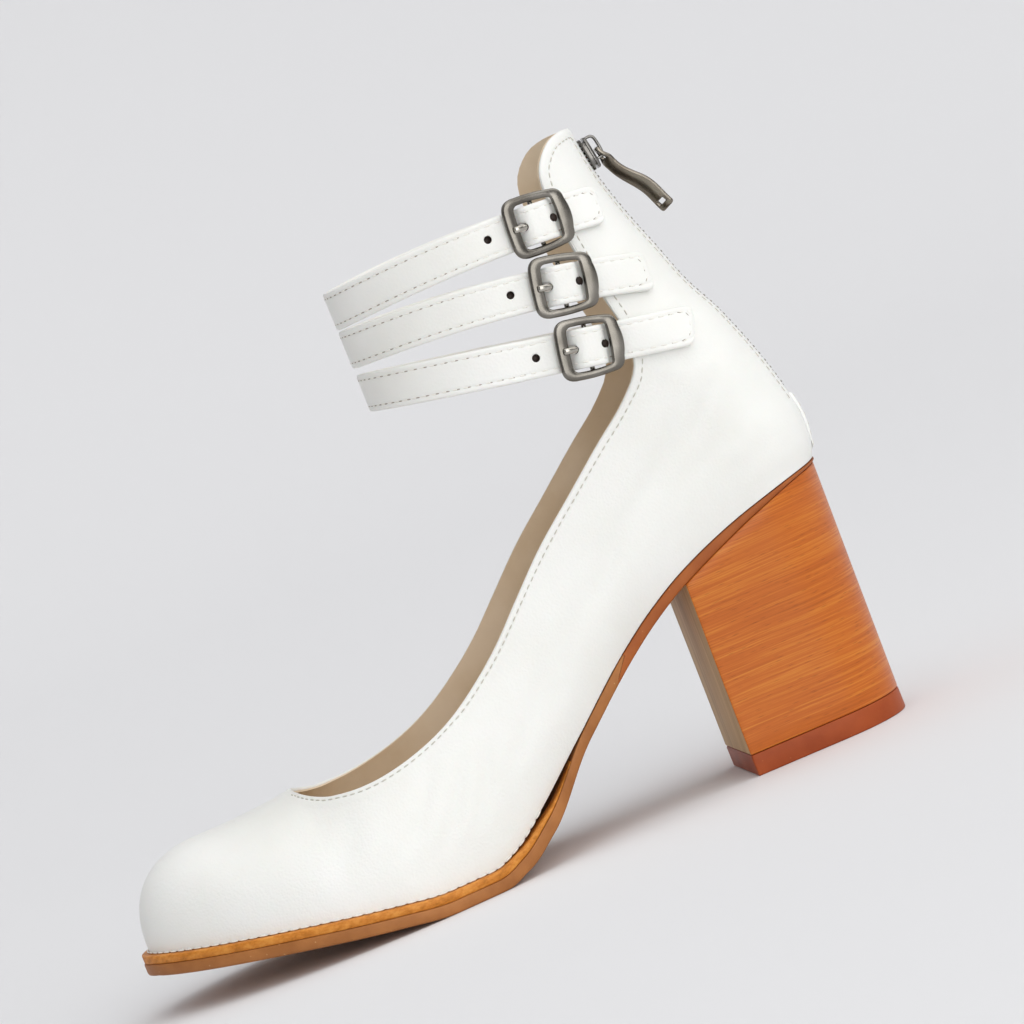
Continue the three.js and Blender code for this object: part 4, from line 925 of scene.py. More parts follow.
sock_front = plate("insole_sock_front", sock_joint, TOE_X - insole_inset, 120, sock_ledge, insole_top,
                   feather_height, 0, [nude_lining])
sock_back = plate("insole_sock_back", sock_joint, BACK_X + insole_inset, 60, sock_ledge, insole_top,
                  feather_height, 0, [nude_lining])
for sock in (sock_front, sock_back):
    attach(sock, "shoe")
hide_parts("insole")


def welt_ring(share, side, end_x):
    """One ring of the welt's section: rounded outer edge, flat faces, and the edge under the upper."""
    factor = upright_factor
    ring = []
    taper = smoothstep(share, -0.03, 0.26)
    edge = ((0.7, 0.0, 0), (0.25, 0.1, 0), (0.0, 0.45, 0), (0.0, 0.35, 1), (0.3, 0.0, 1))
    for inset, drop, at_bottom in edge:
        x = end_x + (TOE_X - WELT_LEDGE + GAP + inset - end_x) * share
        y = outline_y(x, side, sole_ledge(x) - GAP / 2 - inset)
        top = feather_height(x) - GAP * factor(x)
        bottom = sole_top(x) + 0.05 * factor(x)
        top = bottom + (top - bottom) * (WELT_FEATHER + (1 - WELT_FEATHER) * taper)
        step = min(drop, 0.45 * (top - bottom))
        ring.append((x, y, bottom + step if at_bottom else top - step))
    for at_bottom in (1, 0):
        x = end_x + (TOE_X + WELT_LAP - end_x) * share
        y = outline_y(x, side, -WELT_LAP)
        bottom = sole_top(x) + 0.05 * factor(x)
        top = feather_height(x) - GAP * factor(x)
        top = bottom + (top - bottom) * (WELT_FEATHER + (1 - WELT_FEATHER) * taper)
        ring.append((x, y, bottom if at_bottom else top))
    return ring


welt_leather = tan_welt("tan_welt_leather")
WELT_STATIONS = 170
rings = []
for i in range(-WELT_STATIONS, WELT_STATIONS + 1):
    rings.append(welt_ring(1 - (i / WELT_STATIONS) ** 2, -1 if i < 0 else 1, x_of(WELT_END)))
welt_faces = ring_faces(len(rings), len(rings[0]))
welt = new_piece("welt_strip", np.array(rings, float).reshape(-1, 3), welt_faces, [welt_leather], 50)
tidy_mesh(welt)
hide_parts("welt")
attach(welt, "shoe")

WELT_ROW_OUT = 0.45
WELT_ROW_END = x_of(0.5)
WELT_ROW_STEPS = 120
welt_run = []
for i in range(-WELT_ROW_STEPS, WELT_ROW_STEPS + 1):
    share = 1 - (i / WELT_ROW_STEPS) ** 2
    x = WELT_ROW_END + (TOE_X - WELT_ROW_OUT - WELT_ROW_END) * share
    welt_run.append((x, outline_y(x, -1 if i < 0 else 1, WELT_ROW_OUT), feather_height(x) + 0.05))
welt_thread = bonded_thread("white_welt_thread", "#E9E7DF")
welt_outs = [(0.0, 0.0, 1.0)] * len(welt_run)
sew("welt_stitches", [(welt_run, welt_outs)], welt_thread, 3.1, 2.8, 0.5)

# Heel: a block of plywood with a lacquered wood-look wrap on its sides and back, a pale bare breast, and a
# brown lift nailed and glued under it.
LIFT_LENGTH = 49.6
LIFT_WIDTH = 45.0
LIFT_THICKNESS = 6.4
BREAST_LEAN = 1.0
HEEL_INSET = 0.6
HEEL_TAIL = 1.0
HEEL_HOLLOW = 0.02
HEEL_LEVELS = 14
LIFT_POWER = 2.2
HEEL_OVER_LIFT = 0.12
HEEL_UNDER_SEAT = 0.1
HEEL_SIDES = 96


def heel_foot(share):
    """Place on the lift's outline, from the breast's outer corner round the back to the inner one."""
    half = LIFT_LENGTH / 2
    side = -1 if share < 0.5 else 1
    x = -half + (LIFT_LENGTH + HEEL_TAIL) * math.sin(math.pi * share)
    half_width = LIFT_WIDTH / 2
    return np.array((x, side * half_width * rounded_rise(half + HEEL_TAIL - x, half_width, LIFT_POWER)))


def heel_seat(share):
    """Place on the heel seat's outline for the same share of the way round."""
    side = -1 if share < 0.5 else 1
    ledge = SEAT_LEDGE - HEEL_INSET
    breast = BREAST_LEAN - LIFT_LENGTH / 2
    x = breast + (BACK_X + ledge - breast) * math.sin(math.pi * share)
    return np.array((x, outline_y(x, side, ledge)))


def heel_rings(low, high_at, levels, rise_from, rise_to):
    """Rings of points from the lift's outline towards the seat's, with slightly hollow sides."""
    rings = []
    for level in range(levels + 1):
        rise = rise_from + (rise_to - rise_from) * level / levels
        for i in range(HEEL_SIDES + 1):
            foot = heel_foot(i / HEEL_SIDES)
            seat = heel_seat(i / HEEL_SIDES)
            place = foot + (seat - foot) * rise
            hollow = 1 - HEEL_HOLLOW * math.sin(math.pi * rise)
            rings.append((place[0], place[1] * hollow, low + (high_at(seat[0]) - low) * level / levels))
    return rings


def round_edges(piece, width, segments=3, angle=40):
    """Rounds the sharp edges of a piece with a bevel and keeps the result as its plain mesh."""
    bevel = piece.modifiers.new("round_edges", "BEVEL")
    bevel.width = width * MM
    bevel.segments = segments
    bevel.limit_method = "ANGLE"
    bevel.angle_limit = math.radians(angle)
    mesh = bpy.data.meshes.new_from_object(piece.evaluated_get(bpy.context.evaluated_depsgraph_get()))
    piece.modifiers.clear()
    piece.data = mesh
    mesh.polygons.foreach_set("use_smooth", [True] * len(mesh.polygons))
    mesh.set_sharp_from_angle(angle=math.radians(50))


def wood_wrap(name):
    """Lacquered wood-look wrap: orange, with fine dark grain lines and pores running level round the heel."""
    varnish = {"Coat Weight": 0.22, "Coat Roughness": 0.24, "Specular IOR Level": 0.25}
    material, tree, shader, place = new_material(name, varnish)
    # Grain lines 0.5 mm high and 30 mm long in bands of 7 mm, which wander by up to 2 mm, and pores 0.7 mm
    # high and 6 mm long. All are coarser than the printed grain so that they show.
    warp = add_node(tree, "ShaderNodeTexNoise", {"Scale": 16.0, "Detail": 3.0}, {"Vector": place})
    shifted = add_node(tree, "ShaderNodeVectorMath", {"operation": "MULTIPLY_ADD", 1: (0.0, 0.0, 0.0022)},
                       {0: warp.outputs["Color"], 2: place})
    stretch = add_node(tree, "ShaderNodeMapping", {"Scale": (0.016, 0.016, 1.0)},
                       {"Vector": shifted.outputs["Vector"]})
    grain = add_node(tree, "ShaderNodeTexNoise", {"Scale": 2100.0, "Detail": 5.0, "Roughness": 0.6},
                     {"Vector": stretch.outputs["Vector"]})
    bands = add_node(tree, "ShaderNodeTexNoise", {"Scale": 150.0, "Detail": 3.0, "Roughness": 0.5},
                     {"Vector": stretch.outputs["Vector"]})
    blend = add_node(tree, "ShaderNodeMath", {"operation": "MULTIPLY_ADD", 1: 0.62},
                     {0: bands.outputs["Fac"], 2: grain.outputs["Fac"]})
    shade = add_node(tree, "ShaderNodeValToRGB", {}, {"Fac": blend.outputs["Value"]})
    set_ramp(shade, [(0.56, "#A65413"), (0.7, "#B75D17"), (0.82, "#BF641B"), (0.98, "#CC7A28")])
    drawn_out = add_node(tree, "ShaderNodeMapping", {"Scale": (0.12, 0.12, 1.0)}, {"Vector": place})
    pores = add_node(tree, "ShaderNodeTexVoronoi", {"Scale": 1500.0}, {"Vector": drawn_out.outputs["Vector"]})
    pit = add_node(tree, "ShaderNodeMapRange", {"From Max": 0.25, "To Min": 0.45, "To Max": 0.0},
                   {"Value": pores.outputs["Distance"]})
    darkened = {"data_type": "RGBA", "blend_type": "MULTIPLY", 7: linear("#6B3A18")}
    mixed = add_node(tree, "ShaderNodeMix", darkened,
                     {"Factor": pit.outputs["Result"], 6: shade.outputs["Color"]})
    gloss = add_node(tree, "ShaderNodeMapRange", {"To Min": 0.48, "To Max": 0.34},
                     {"Value": grain.outputs["Fac"]})
    bump = add_node(tree, "ShaderNodeBump", {"Strength": 0.25, "Distance": 0.0001},
                    {"Height": blend.outputs["Value"]})
    feed(tree, shader, {"Base Color": mixed.outputs[2], "Roughness": gloss.outputs["Result"],
                        "Normal": bump.outputs["Normal"]})
    return material


def bare_wood(name):
    """Bare sanded plywood facing: pale olive-beige, with upright grain and thin darker streaks."""
    material, tree, shader, place = new_material(name, {"Roughness": 0.62})
    # streaks of 4 mm and finer, twenty times as long as they are wide
    stretch = add_node(tree, "ShaderNodeMapping", {"Scale": (1.0, 1.0, 0.05)}, {"Vector": place})
    grain = add_node(tree, "ShaderNodeTexNoise", {"Scale": 260.0, "Detail": 5.0, "Roughness": 0.55},
                     {"Vector": stretch.outputs["Vector"]})
    shade = add_node(tree, "ShaderNodeValToRGB", {}, {"Fac": grain.outputs["Fac"]})
    set_ramp(shade, [(0.3, "#B8966A"), (0.66, "#DDBE8C")])
    bump = add_node(tree, "ShaderNodeBump", {"Strength": 0.3, "Distance": 0.0001},
                    {"Height": grain.outputs["Fac"]})
    feed(tree, shader, {"Base Color": shade.outputs["Color"], "Normal": bump.outputs["Normal"]})
    return material


heel_low = LIFT_THICKNESS + HEEL_OVER_LIFT
heel_points = heel_rings(heel_low, lambda x: sole_bottom(x) - HEEL_UNDER_SEAT, HEEL_LEVELS, 0.0, 1.0)
heel = new_piece("heel_block_wrap", heel_points, ring_faces(HEEL_LEVELS + 1, HEEL_SIDES + 1),
                 [wood_wrap("lacquered_wood_wrap"), bare_wood("bare_plywood_breast")])
tidy_mesh(heel)
round_edges(heel, 0.45)
# the breast's faces look forward, and they alone stay bare
for face in heel.data.polygons:
    face.material_index = 1 if face.normal.x < -0.9 else 0
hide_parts("heel_block")
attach(heel, "shoe")

lift_points = heel_rings(0.0, lambda x: LIFT_THICKNESS, 1, 0.0, 0.0)
lift_rubber = moulded_rubber("brown_lift_rubber", "#A34C22", "#94411B", "#B8693A")
lift = new_piece("top_lift_rubber", lift_points, ring_faces(2, HEEL_SIDES + 1), [lift_rubber])
tidy_mesh(lift)
round_edges(lift, 0.5)
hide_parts("top_lift")
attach(lift, "shoe")

# Back strip: a short leather strip sewn over the closed seam between the zip and the heel seat.
STRIP_WIDTH = 9.0
STRIP_THICKNESS = 1.0
STRIP_INSET = 2.0
STRIP_STITCH_INSET = 1.3


def back_face_x(y, z):
    """Back of the upper's outer face at a distance from the middle plane."""
    near = back_line_x(z)
    far = near - HEEL_ROUND
    for _ in range(30):
        middle = (near + far) / 2
        reach = np.where(y < 0, np.abs(upper_face(middle, z, -1)), np.abs(upper_face(middle, z, 1)))
        wide = reach > np.abs(y)
        far = np.where(wide, middle, far)
        near = np.where(wide, near, middle)
    return near


def rounded_end(distance, radius):
    """How far a rounded corner draws the edge in, at a distance from the end."""
    left = np.clip(1 - distance / radius, 0, 1)
    return radius * (1 - np.sqrt(1 - left * left))


strip_low = SEAT_HEIGHT + STRIP_INSET
strip_high = ZIP_BOTTOM - GAP


def strip_depth(z):
    """The strip is skived thin at its foot, over the heel seat."""
    return STRIP_THICKNESS * (0.3 + 0.5 * smoothstep(z - strip_low, 0, 9))


end_steps = np.array([0, 0.1, 0.3, 0.6, 1.0])
strip_middle = np.linspace(strip_low + 1.6, strip_high - 1.6, 18)
strip_z = np.concatenate((strip_low + end_steps, strip_middle, strip_high - end_steps[::-1]))
half_across = np.array([0.2, 0.4, 0.62, 0.7, 0.8, 0.89, 0.95, 0.985, 1])
strip_across = np.concatenate((-half_across[::-1], [0], half_across))
from_end = np.minimum(strip_z - strip_low, strip_high - strip_z)[:, None]
half = STRIP_WIDTH / 2 - rounded_end(from_end, 2.0)
strip_y = half * strip_across[None, :]
strip_rise = strip_z[:, None] + 0 * strip_y
strip_base = back_face_x(strip_y, strip_rise)
edge_gap = np.minimum((1 - np.abs(strip_across[None, :])) * STRIP_WIDTH / 2, from_end)
dome = strip_depth(strip_z)[:, None] * np.sqrt(1 - np.clip(1 - edge_gap / 0.6, 0, 1) ** 2)
seam_dip = 0.08 * np.exp(-((edge_gap - STRIP_STITCH_INSET) / 0.35) ** 2)
outer = np.stack((strip_base + 0.05 + dome - seam_dip, strip_y, strip_rise), axis=-1)
inner = np.stack((strip_base + 0.02, strip_y, strip_rise), axis=-1)[:, ::-1]
rings = np.concatenate((outer, inner), axis=1)
strip_faces = ring_faces(*rings.shape[:2])
strip = new_piece("back_strip_leather", rings.reshape(-1, 3), strip_faces, [upper_leather], 50)
tidy_mesh(strip)
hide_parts("back_strip")
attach(strip, "shoe")

strip_runs = []
for side in (-1, 1):
    z = np.linspace(strip_low + 1.6, strip_high - 1.6, 20)
    y = np.full(20, side * (STRIP_WIDTH / 2 - STRIP_STITCH_INSET))
    x = back_face_x(y, z) + strip_depth(z) - 0.02
    strip_runs.append((np.column_stack((x, y, z)), [(1.0, side * 0.3, 0.0)] * 20))
sew("back_strip_stitches", strip_runs, shaded_upper_thread)

# Zip: a woven tape inside the quarters, cast metal teeth in the slot, and a dark slider whose bent tab hangs
# on its bridge.
ZIP_INSET = 3.1
TAPE_SINK = 1.3
TAPE_WIDTH = 13.0
TAPE_THICKNESS = 0.8
TAPE_STATIONS = 60
TOOTH_PITCH = 1.3
TOOTH_HALVES = (1.12, 0.42, 1.2)
TOOTH_SINK = 0.6
TOOTH_STAGGER = 0.55
SLIDER_LENGTH = 10.0
SLIDER_WIDTH = 7.6
SLIDER_THICKNESS = 2.6
SLIDER_DROP = 6.5
SLIDER_LIFT = 0.4
HINGE_RISE = 1.4
BRIDGE_WIDTH = 2.0
BRIDGE_REACH = 3.0
BRIDGE_MIDDLE = 0.98
BRIDGE_HALF = 3.42
BRIDGE_RISE = 2.85
BRIDGE_STATIONS = 40
BRIDGE_SIDES = 16
PULL_BEND = -1.0
PULL_TWIST = 42.0
PULL_LENGTH = 27.0
PULL_WIDTH = 5.6
PULL_THICKNESS = 1.2
PULL_LEAN = 30.0

zip_top = edge_points()[0, 1] - ZIP_INSET
slider_height = zip_top - SLIDER_DROP


def back_frame(z):
    """Place on the back line, the way down along it and the way out of it."""
    down = np.array([back_line_x(z - 1) - back_line_x(z + 1), 0.0, -2.0])
    down /= np.linalg.norm(down)
    return np.array([float(back_line_x(z)), 0.0, z]), down, np.array([-down[2], 0.0, down[0]])


def metal(name, colour_code, dark_code, roughness, brush):
    """Plated zinc or brass with an aged finish: lightly brushed, with darker clouds that the polish left."""
    material, tree, shader, place = new_material(name, {"Metallic": 1.0})
    # clouds of 9 mm, and brush lines 0.25 mm apart, coarser than the real ones so that they show
    cloud = add_node(tree, "ShaderNodeTexNoise", {"Scale": 110.0, "Detail": 2.0}, {"Vector": place})
    shade = add_node(tree, "ShaderNodeValToRGB", {}, {"Fac": cloud.outputs["Fac"]})
    set_ramp(shade, [(0.25, dark_code), (0.65, colour_code)])
    stretch = add_node(tree, "ShaderNodeMapping", {"Scale": (1.0, 1.0, 0.12)}, {"Vector": place})
    lines = add_node(tree, "ShaderNodeTexNoise", {"Scale": 4200.0, "Detail": 3.0},
                     {"Vector": stretch.outputs["Vector"]})
    gloss = add_node(tree, "ShaderNodeMapRange", {"To Min": roughness - 0.08, "To Max": roughness + 0.1},
                     {"Value": lines.outputs["Fac"]})
    bump = add_node(tree, "ShaderNodeBump", {"Strength": brush, "Distance": 0.00003},
                    {"Height": lines.outputs["Fac"]})
    feed(tree, shader, {"Base Color": shade.outputs["Color"], "Roughness": gloss.outputs["Result"],
                        "Normal": bump.outputs["Normal"]})
    return material


def woven_tape(name):
    """Woven polyester tape: off-white, with a fine twill."""
    material, tree, shader, place = new_material(name, {"Base Color": linear("#E4E0D5"), "Roughness": 0.85})
    # twill lines 0.6 mm apart
    woven = {"Scale": 520.0, "bands_direction": "DIAGONAL", "Distortion": 0.6}
    twill = add_node(tree, "ShaderNodeTexWave", woven, {"Vector": place})
    bump = add_node(tree, "ShaderNodeBump", {"Strength": 0.5, "Distance": 0.00012},
                    {"Height": twill.outputs["Fac"]})
    feed(tree, shader, {"Normal": bump.outputs["Normal"]})
    return material


def soft(value, power):
    """A sine or cosine drawn out towards 1 with its sign kept, which squares a round section softly."""
    return np.sign(value) * np.abs(value) ** power


def rounded_block(power=0.45, around=14, levels=9):
    """A unit block with soft edges as points and faces, from -1 to 1 on each axis."""
    a = np.linspace(0, 2 * math.pi, around, endpoint=False)
    ring = np.stack((soft(np.cos(a), power), soft(np.sin(a), power)), axis=-1)
    points = []
    for b in np.linspace(-math.pi / 2, math.pi / 2, levels):
        height = np.full(around, soft(math.sin(b), power))
        points.append(np.column_stack((ring * soft(math.cos(b), power), height)))
    return np.concatenate(points), ring_faces(levels, around)


def repeated(points, faces, frames):
    """Copies of a small part joined into one list of points and faces. A frame is a place and three axes."""
    all_points = []
    all_faces = []
    for place, axes in frames:
        first = len(points) * len(all_points)
        all_points.append(place + points @ axes)
        all_faces.extend(tuple(first + v for v in face) for face in faces)
    return np.concatenate(all_points), all_faces


half_tape = TAPE_WIDTH / 2
tape_section = np.array([
    (-half_tape, 0.0), (-1.2, 0.0), (-1.0, -0.5), (-0.25, -0.5), (0.0, -0.1), (0.25, -0.5), (1.0, -0.5),
    (1.2, 0.0), (half_tape, 0.0), (half_tape, TAPE_THICKNESS), (-half_tape, TAPE_THICKNESS),
])
tape_rings = []
for z in np.linspace(ZIP_BOTTOM + GAP + 1, zip_top, TAPE_STATIONS):
    at, down, out = back_frame(z)
    depth = WALL + TAPE_SINK + tape_section[:, 1]
    tape_rings.append(at - depth[:, None] * out + tape_section[:, :1] * np.array([0.0, 1.0, 0.0]))
tape = new_piece("zip_tape", np.concatenate(tape_rings), ring_faces(TAPE_STATIONS, len(tape_section)),
                 [woven_tape("woven_zip_tape")], 30)
tidy_mesh(tape)
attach(tape, "shoe")

teeth_metal = metal("nickel_zip_teeth", "#A9A59C", "#77736B", 0.32, 0.1)
block_points, block_faces = rounded_block()
tooth_frames = []
tooth_side, tooth_down, tooth_out = TOOTH_HALVES
step = 0
z = ZIP_BOTTOM + GAP + 1.8
while z < zip_top - 0.6:
    at, down, out = back_frame(z)
    side = -1 if step % 2 else 1
    place = at - TOOTH_SINK * out + np.array([0.0, side * TOOTH_STAGGER, 0.0])
    tooth_frames.append((place, np.array([[0.0, tooth_side, 0.0], tooth_down * down, tooth_out * out])))
    z -= down[2] * TOOTH_PITCH
    step += 1
teeth_points, teeth_faces = repeated(block_points, block_faces, tooth_frames)
teeth = new_piece("zip_teeth", teeth_points, teeth_faces, [teeth_metal], 70)
tidy_mesh(teeth)
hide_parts("zip_chain")
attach(teeth, "shoe")

pull_metal = metal("warm_gunmetal", "#8F887D", "#6A5F53", 0.22, 0.06)
slider_metal = metal("dark_polished_nickel", "#8C8A86", "#55524D", 0.2, 0.06)
slider_at, slider_down, slider_out = back_frame(slider_height)
side_axis = np.array([0.0, 1.0, 0.0])
hinge = slider_at + slider_out * (SLIDER_LIFT + SLIDER_THICKNESS + HINGE_RISE)

# rise and inset of the slider's two plates and of the neck between them
SLIDER_PROFILE = [
    (0.0, 0.5), (0.12, 0.15), (0.3, 0.0), (0.75, 0.0), (0.85, 1.1), (1.55, 1.1), (1.65, 0.0), (2.1, 0.0),
    (2.35, 0.15), (2.52, 0.5), (2.6, 0.95),
]
angles = np.linspace(0, 2 * math.pi, 56, endpoint=False)
plate_outline = np.stack((soft(np.cos(angles), 0.5) * SLIDER_WIDTH / 2,
                          soft(np.sin(angles), 0.5) * SLIDER_LENGTH / 2), axis=-1)
slider_rings = []
for rise, inset in SLIDER_PROFILE:
    scale = 1 - inset / np.array([SLIDER_WIDTH / 2, SLIDER_LENGTH / 2])
    flat = plate_outline * scale
    slider_rings.append(slider_at + slider_out * (SLIDER_LIFT + rise) + flat[:, :1] * side_axis
                        - flat[:, 1:] * slider_down)
slider_points = np.concatenate(slider_rings)
slider_faces = ring_faces(len(slider_rings), len(angles))
bridge_rings = []
plate_top = slider_at + slider_out * (SLIDER_LIFT + SLIDER_THICKNESS - 0.35)
arch = []
for turn in np.linspace(0, math.pi, BRIDGE_STATIONS):
    run = BRIDGE_MIDDLE + BRIDGE_HALF * soft(math.cos(turn), 0.5)
    arch.append((run, BRIDGE_RISE * abs(math.sin(turn)) ** 0.42))
arch = np.array(arch)
headings = np.gradient(arch, axis=0)
headings /= np.linalg.norm(headings, axis=1, keepdims=True)
for (run, rise), (run_step, rise_step) in zip(arch, headings):
    normal = -slider_down * -rise_step + slider_out * run_step
    for t in np.linspace(0, 2 * math.pi, BRIDGE_SIDES, endpoint=False):
        out_part = soft(math.cos(t), 0.6) * 0.45
        side_part = soft(math.sin(t), 0.6) * BRIDGE_WIDTH / 2
        bridge_rings.append(plate_top - slider_down * run + slider_out * rise + normal * out_part
                            + side_axis * side_part)
first = len(slider_points)
slider_faces += [tuple(first + v for v in face) for face in ring_faces(BRIDGE_STATIONS, BRIDGE_SIDES)]
slider_points = np.concatenate((slider_points, bridge_rings))
slider = new_piece("zip_slider_body", slider_points, slider_faces, [slider_metal], 45)
tidy_mesh(slider)
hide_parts("zip_slider")
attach(slider, "shoe")


def cut_out(piece, points, faces, material=None):
    """Cuts a solid out of a piece and keeps the result as its plain mesh. The cut's walls take a material."""
    cutter = new_piece("cutter", points, faces, [material] if material else [])
    tidy_mesh(cutter)
    cut = piece.modifiers.new("cut", "BOOLEAN")
    cut.operation = "DIFFERENCE"
    cut.solver = "EXACT"
    cut.material_mode = "TRANSFER"
    cut.object = cutter
    mesh = bpy.data.meshes.new_from_object(piece.evaluated_get(bpy.context.evaluated_depsgraph_get()))
    piece.modifiers.clear()
    piece.data = mesh
    bpy.data.objects.remove(cutter)


def prism(outline, centre, first_axis, second_axis, depth_axis, depth):
    """A straight solid over an outline in a plane, as points and faces."""
    flat = np.array([centre + a * first_axis + b * second_axis for a, b in outline])
    points = np.concatenate((flat - depth_axis * depth / 2, flat + depth_axis * depth / 2))
    return points, ring_faces(2, len(outline))


def soft_rectangle(length, height, radius, centre=0.0, steps=5):
    """Outline of a rectangle with round corners, moved along its length."""
    outline = []
    for k, (a, b) in enumerate(((1, 1), (-1, 1), (-1, -1), (1, -1))):
        for i in range(steps + 1):
            turn = math.pi / 2 * (k + i / steps)
            outline.append((centre + a * (length / 2 - radius) + radius * math.cos(turn),
                            b * (height / 2 - radius) + radius * math.sin(turn)))
    return outline


lean = math.radians(PULL_LEAN)
pull_down = np.array([math.sin(lean), 0.0, -math.cos(lean)])
pull_out = np.array([-pull_down[2], 0.0, pull_down[0]])
pull_half = PULL_THICKNESS / 2


def twisted_axes(turned):
    """The pull tab's wide and thick directions after a turn about its length."""
    wide = side_axis * math.cos(turned) - pull_out * math.sin(turned)
    thick = pull_out * math.cos(turned) + side_axis * math.sin(turned)
    return wide, thick


pull_places = np.concatenate((-pull_half + np.array([0.0, 0.06, 0.2, 0.4]), np.linspace(0.2, 24.6, 60),
                              PULL_LENGTH - np.array([2.1, 1.6, 1.1, 0.7, 0.4, 0.18, 0.05, 0.0])))
pull_rings = []
for at in pull_places:
    share = (at + pull_half) / (PULL_LENGTH + pull_half)
    bend = PULL_BEND * math.sin(2 * math.pi * share) * math.sin(math.pi * share)
    near_end = np.minimum(PULL_LENGTH - at, at + pull_half)
    neck = PULL_WIDTH / 2 - 0.3 - 0.35 * smoothstep(at, 3.2, 6.0) + 0.65 * smoothstep(at, 6.5, 17.0)
    half = neck - rounded_end(near_end, 0.9)
    middle = hinge + pull_down * at + pull_out * bend
    wide_axis, thick_axis = twisted_axes(math.radians(PULL_TWIST) * smoothstep(at, 0.8, 5.5))
    w = pull_half - rounded_end(near_end, 0.35) * 0.9
    corner = [(half, 0.4 * w), (half - 0.12, 0.8 * w), (half - 0.38, w)]
    section = [(-y, out) for y, out in corner] + corner[::-1]
    section += [(-y, -out) for y, out in section]
    pull_rings.extend(middle + thick_axis * out + wide_axis * y for y, out in section)
pull_faces = ring_faces(len(pull_places), len(section))
pull = new_piece("zip_pull_tab", np.array(pull_rings), pull_faces, [pull_metal], 45)
tidy_mesh(pull)
window_end = BRIDGE_REACH + 2 * GAP
window = soft_rectangle(window_end - pull_half, BRIDGE_WIDTH + 3 * GAP, 0.5, (window_end + pull_half) / 2)
cut_out(pull, *prism(window, hinge, pull_down, side_axis, pull_out, 10), pull_metal)
wide_axis, thick_axis = twisted_axes(math.radians(PULL_TWIST))
foot_slot = soft_rectangle(1.5, 3.2, 0.3, PULL_LENGTH - 2.6)
cut_out(pull, *prism(foot_slot, hinge, pull_down, wide_axis, thick_axis, 10), pull_metal)
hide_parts("zip_pull")
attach(pull, "zip_pull")

# Straps: three folded and edge-stitched ankle straps, sewn flat on the inner quarter, led round the front
# and through their cast pewter-look buckles, with the tails lying on the outer quarter.
STRAP_WIDTH = 11.4
STRAP_THICKNESS = 1.6
STRAP_REACH = 86.0
STRAP_BOW = 33.2
STRAP_WAIST_X = x_of(0.312)
STRAP_RISE = 0.8074
STRAP_FAN = 0.3195
STRAP_BEND = 0.4557
BUCKLE_X = x_of(0.2278)
BUCKLE_LENGTH = 19.0
BUCKLE_FRONT = 18.4
BUCKLE_REAR = 16.0
BUCKLE_PITCH = BUCKLE_FRONT + 0.5
BUCKLE_BAR = 3.6
BUCKLE_RAIL = 2.5
BUCKLE_DEPTH = 2.0
PIN_RADIUS = 0.7
PIN_SINK = 1.5
EYE_RADIUS = 1.7
BAR_CLEARANCE = 1.1
PRONG_WIDTH = 1.7
PRONG_THICKNESS = 1.3
PRONG_TIP = 1.6
MEDIAL_LAP = 13.0
HOLE_WIDTH = 2.6
HOLES = (-15.4, 4.5)
PRONG_SLOT_LENGTH = 2.6
PRONG_SLOT_PLACE = -4.75
STRAP_STITCH_INSET = 1.7
STRAP_STITCH_PITCH = 3.3
STRAP_SKIN = 2.2 * GAP + STRAP_THICKNESS / 2
BAR_OUT = BUCKLE_DEPTH / 2 + BAR_CLEARANCE + STRAP_THICKNESS / 2
PIN_OUT = EYE_RADIUS - PIN_SINK + 2 * GAP + STRAP_THICKNESS / 2
PUFF_POWER = 3.2

# name, drop at the buckle and at the front, sag, tail length and how far the tail's end slants
STRAP_ROWS = [
    ("top", 0.0, 0.0, 0.0, 0.2384, 0.0),
    ("middle", 1.0, 1.054, -0.0675, 0.3035, -0.16),
    ("bottom", 2.021, 2.234, 0.456, 0.3698, 0.22),
]
edge_line = spaced_curve(edge_points(), np.linspace(0, 1, 900))
edge_line = edge_line[int(np.argmax(edge_line[:, 1])):]


def edge_x(z):
    return np.interp(z, edge_line[::-1, 1], edge_line[::-1, 0])


def strap_height(row, x):
    """Height of a strap's middle line: the straps fan out towards the front."""
    share = (BUCKLE_X - x) / (STRAP_REACH + BUCKLE_X)
    fan = STRAP_WIDTH * (STRAP_FAN * share - STRAP_BEND * share * share)
    near = BUCKLE_PITCH * row[1]
    drop = near + (STRAP_WIDTH * row[2] - near) * share
    top = SEAT_HEIGHT + QUARTER_HEIGHT * STRAP_RISE + fan
    return top - drop - STRAP_WIDTH * row[3] * share * (1 - share)


def strap_slope(row, x):
    return (strap_height(row, x + 1) - strap_height(row, x - 1)) / 2


def strap_side_y(x, z, side):
    """How far out a strap runs: flat on the quarter, then in a smooth bow to the front."""
    def quarter(at_x, at_z):
        return np.abs(upper_face(at_x, at_z, side))

    def over_quarter(at_x):
        along_x = (quarter(at_x + 0.2, z) - quarter(at_x - 0.2, z)) / 0.4
        along_z = (quarter(at_x, z + 0.2) - quarter(at_x, z - 0.2)) / 0.4
        return quarter(at_x, z) + STRAP_SKIN * np.sqrt(1 + along_x ** 2 + along_z ** 2)

    join = edge_x(z) - 1
    share = smoothstep(join - x, 0, join - STRAP_WAIST_X)
    return np.where(x >= join, over_quarter(x), over_quarter(join) * (1 - share) + STRAP_BOW * share)


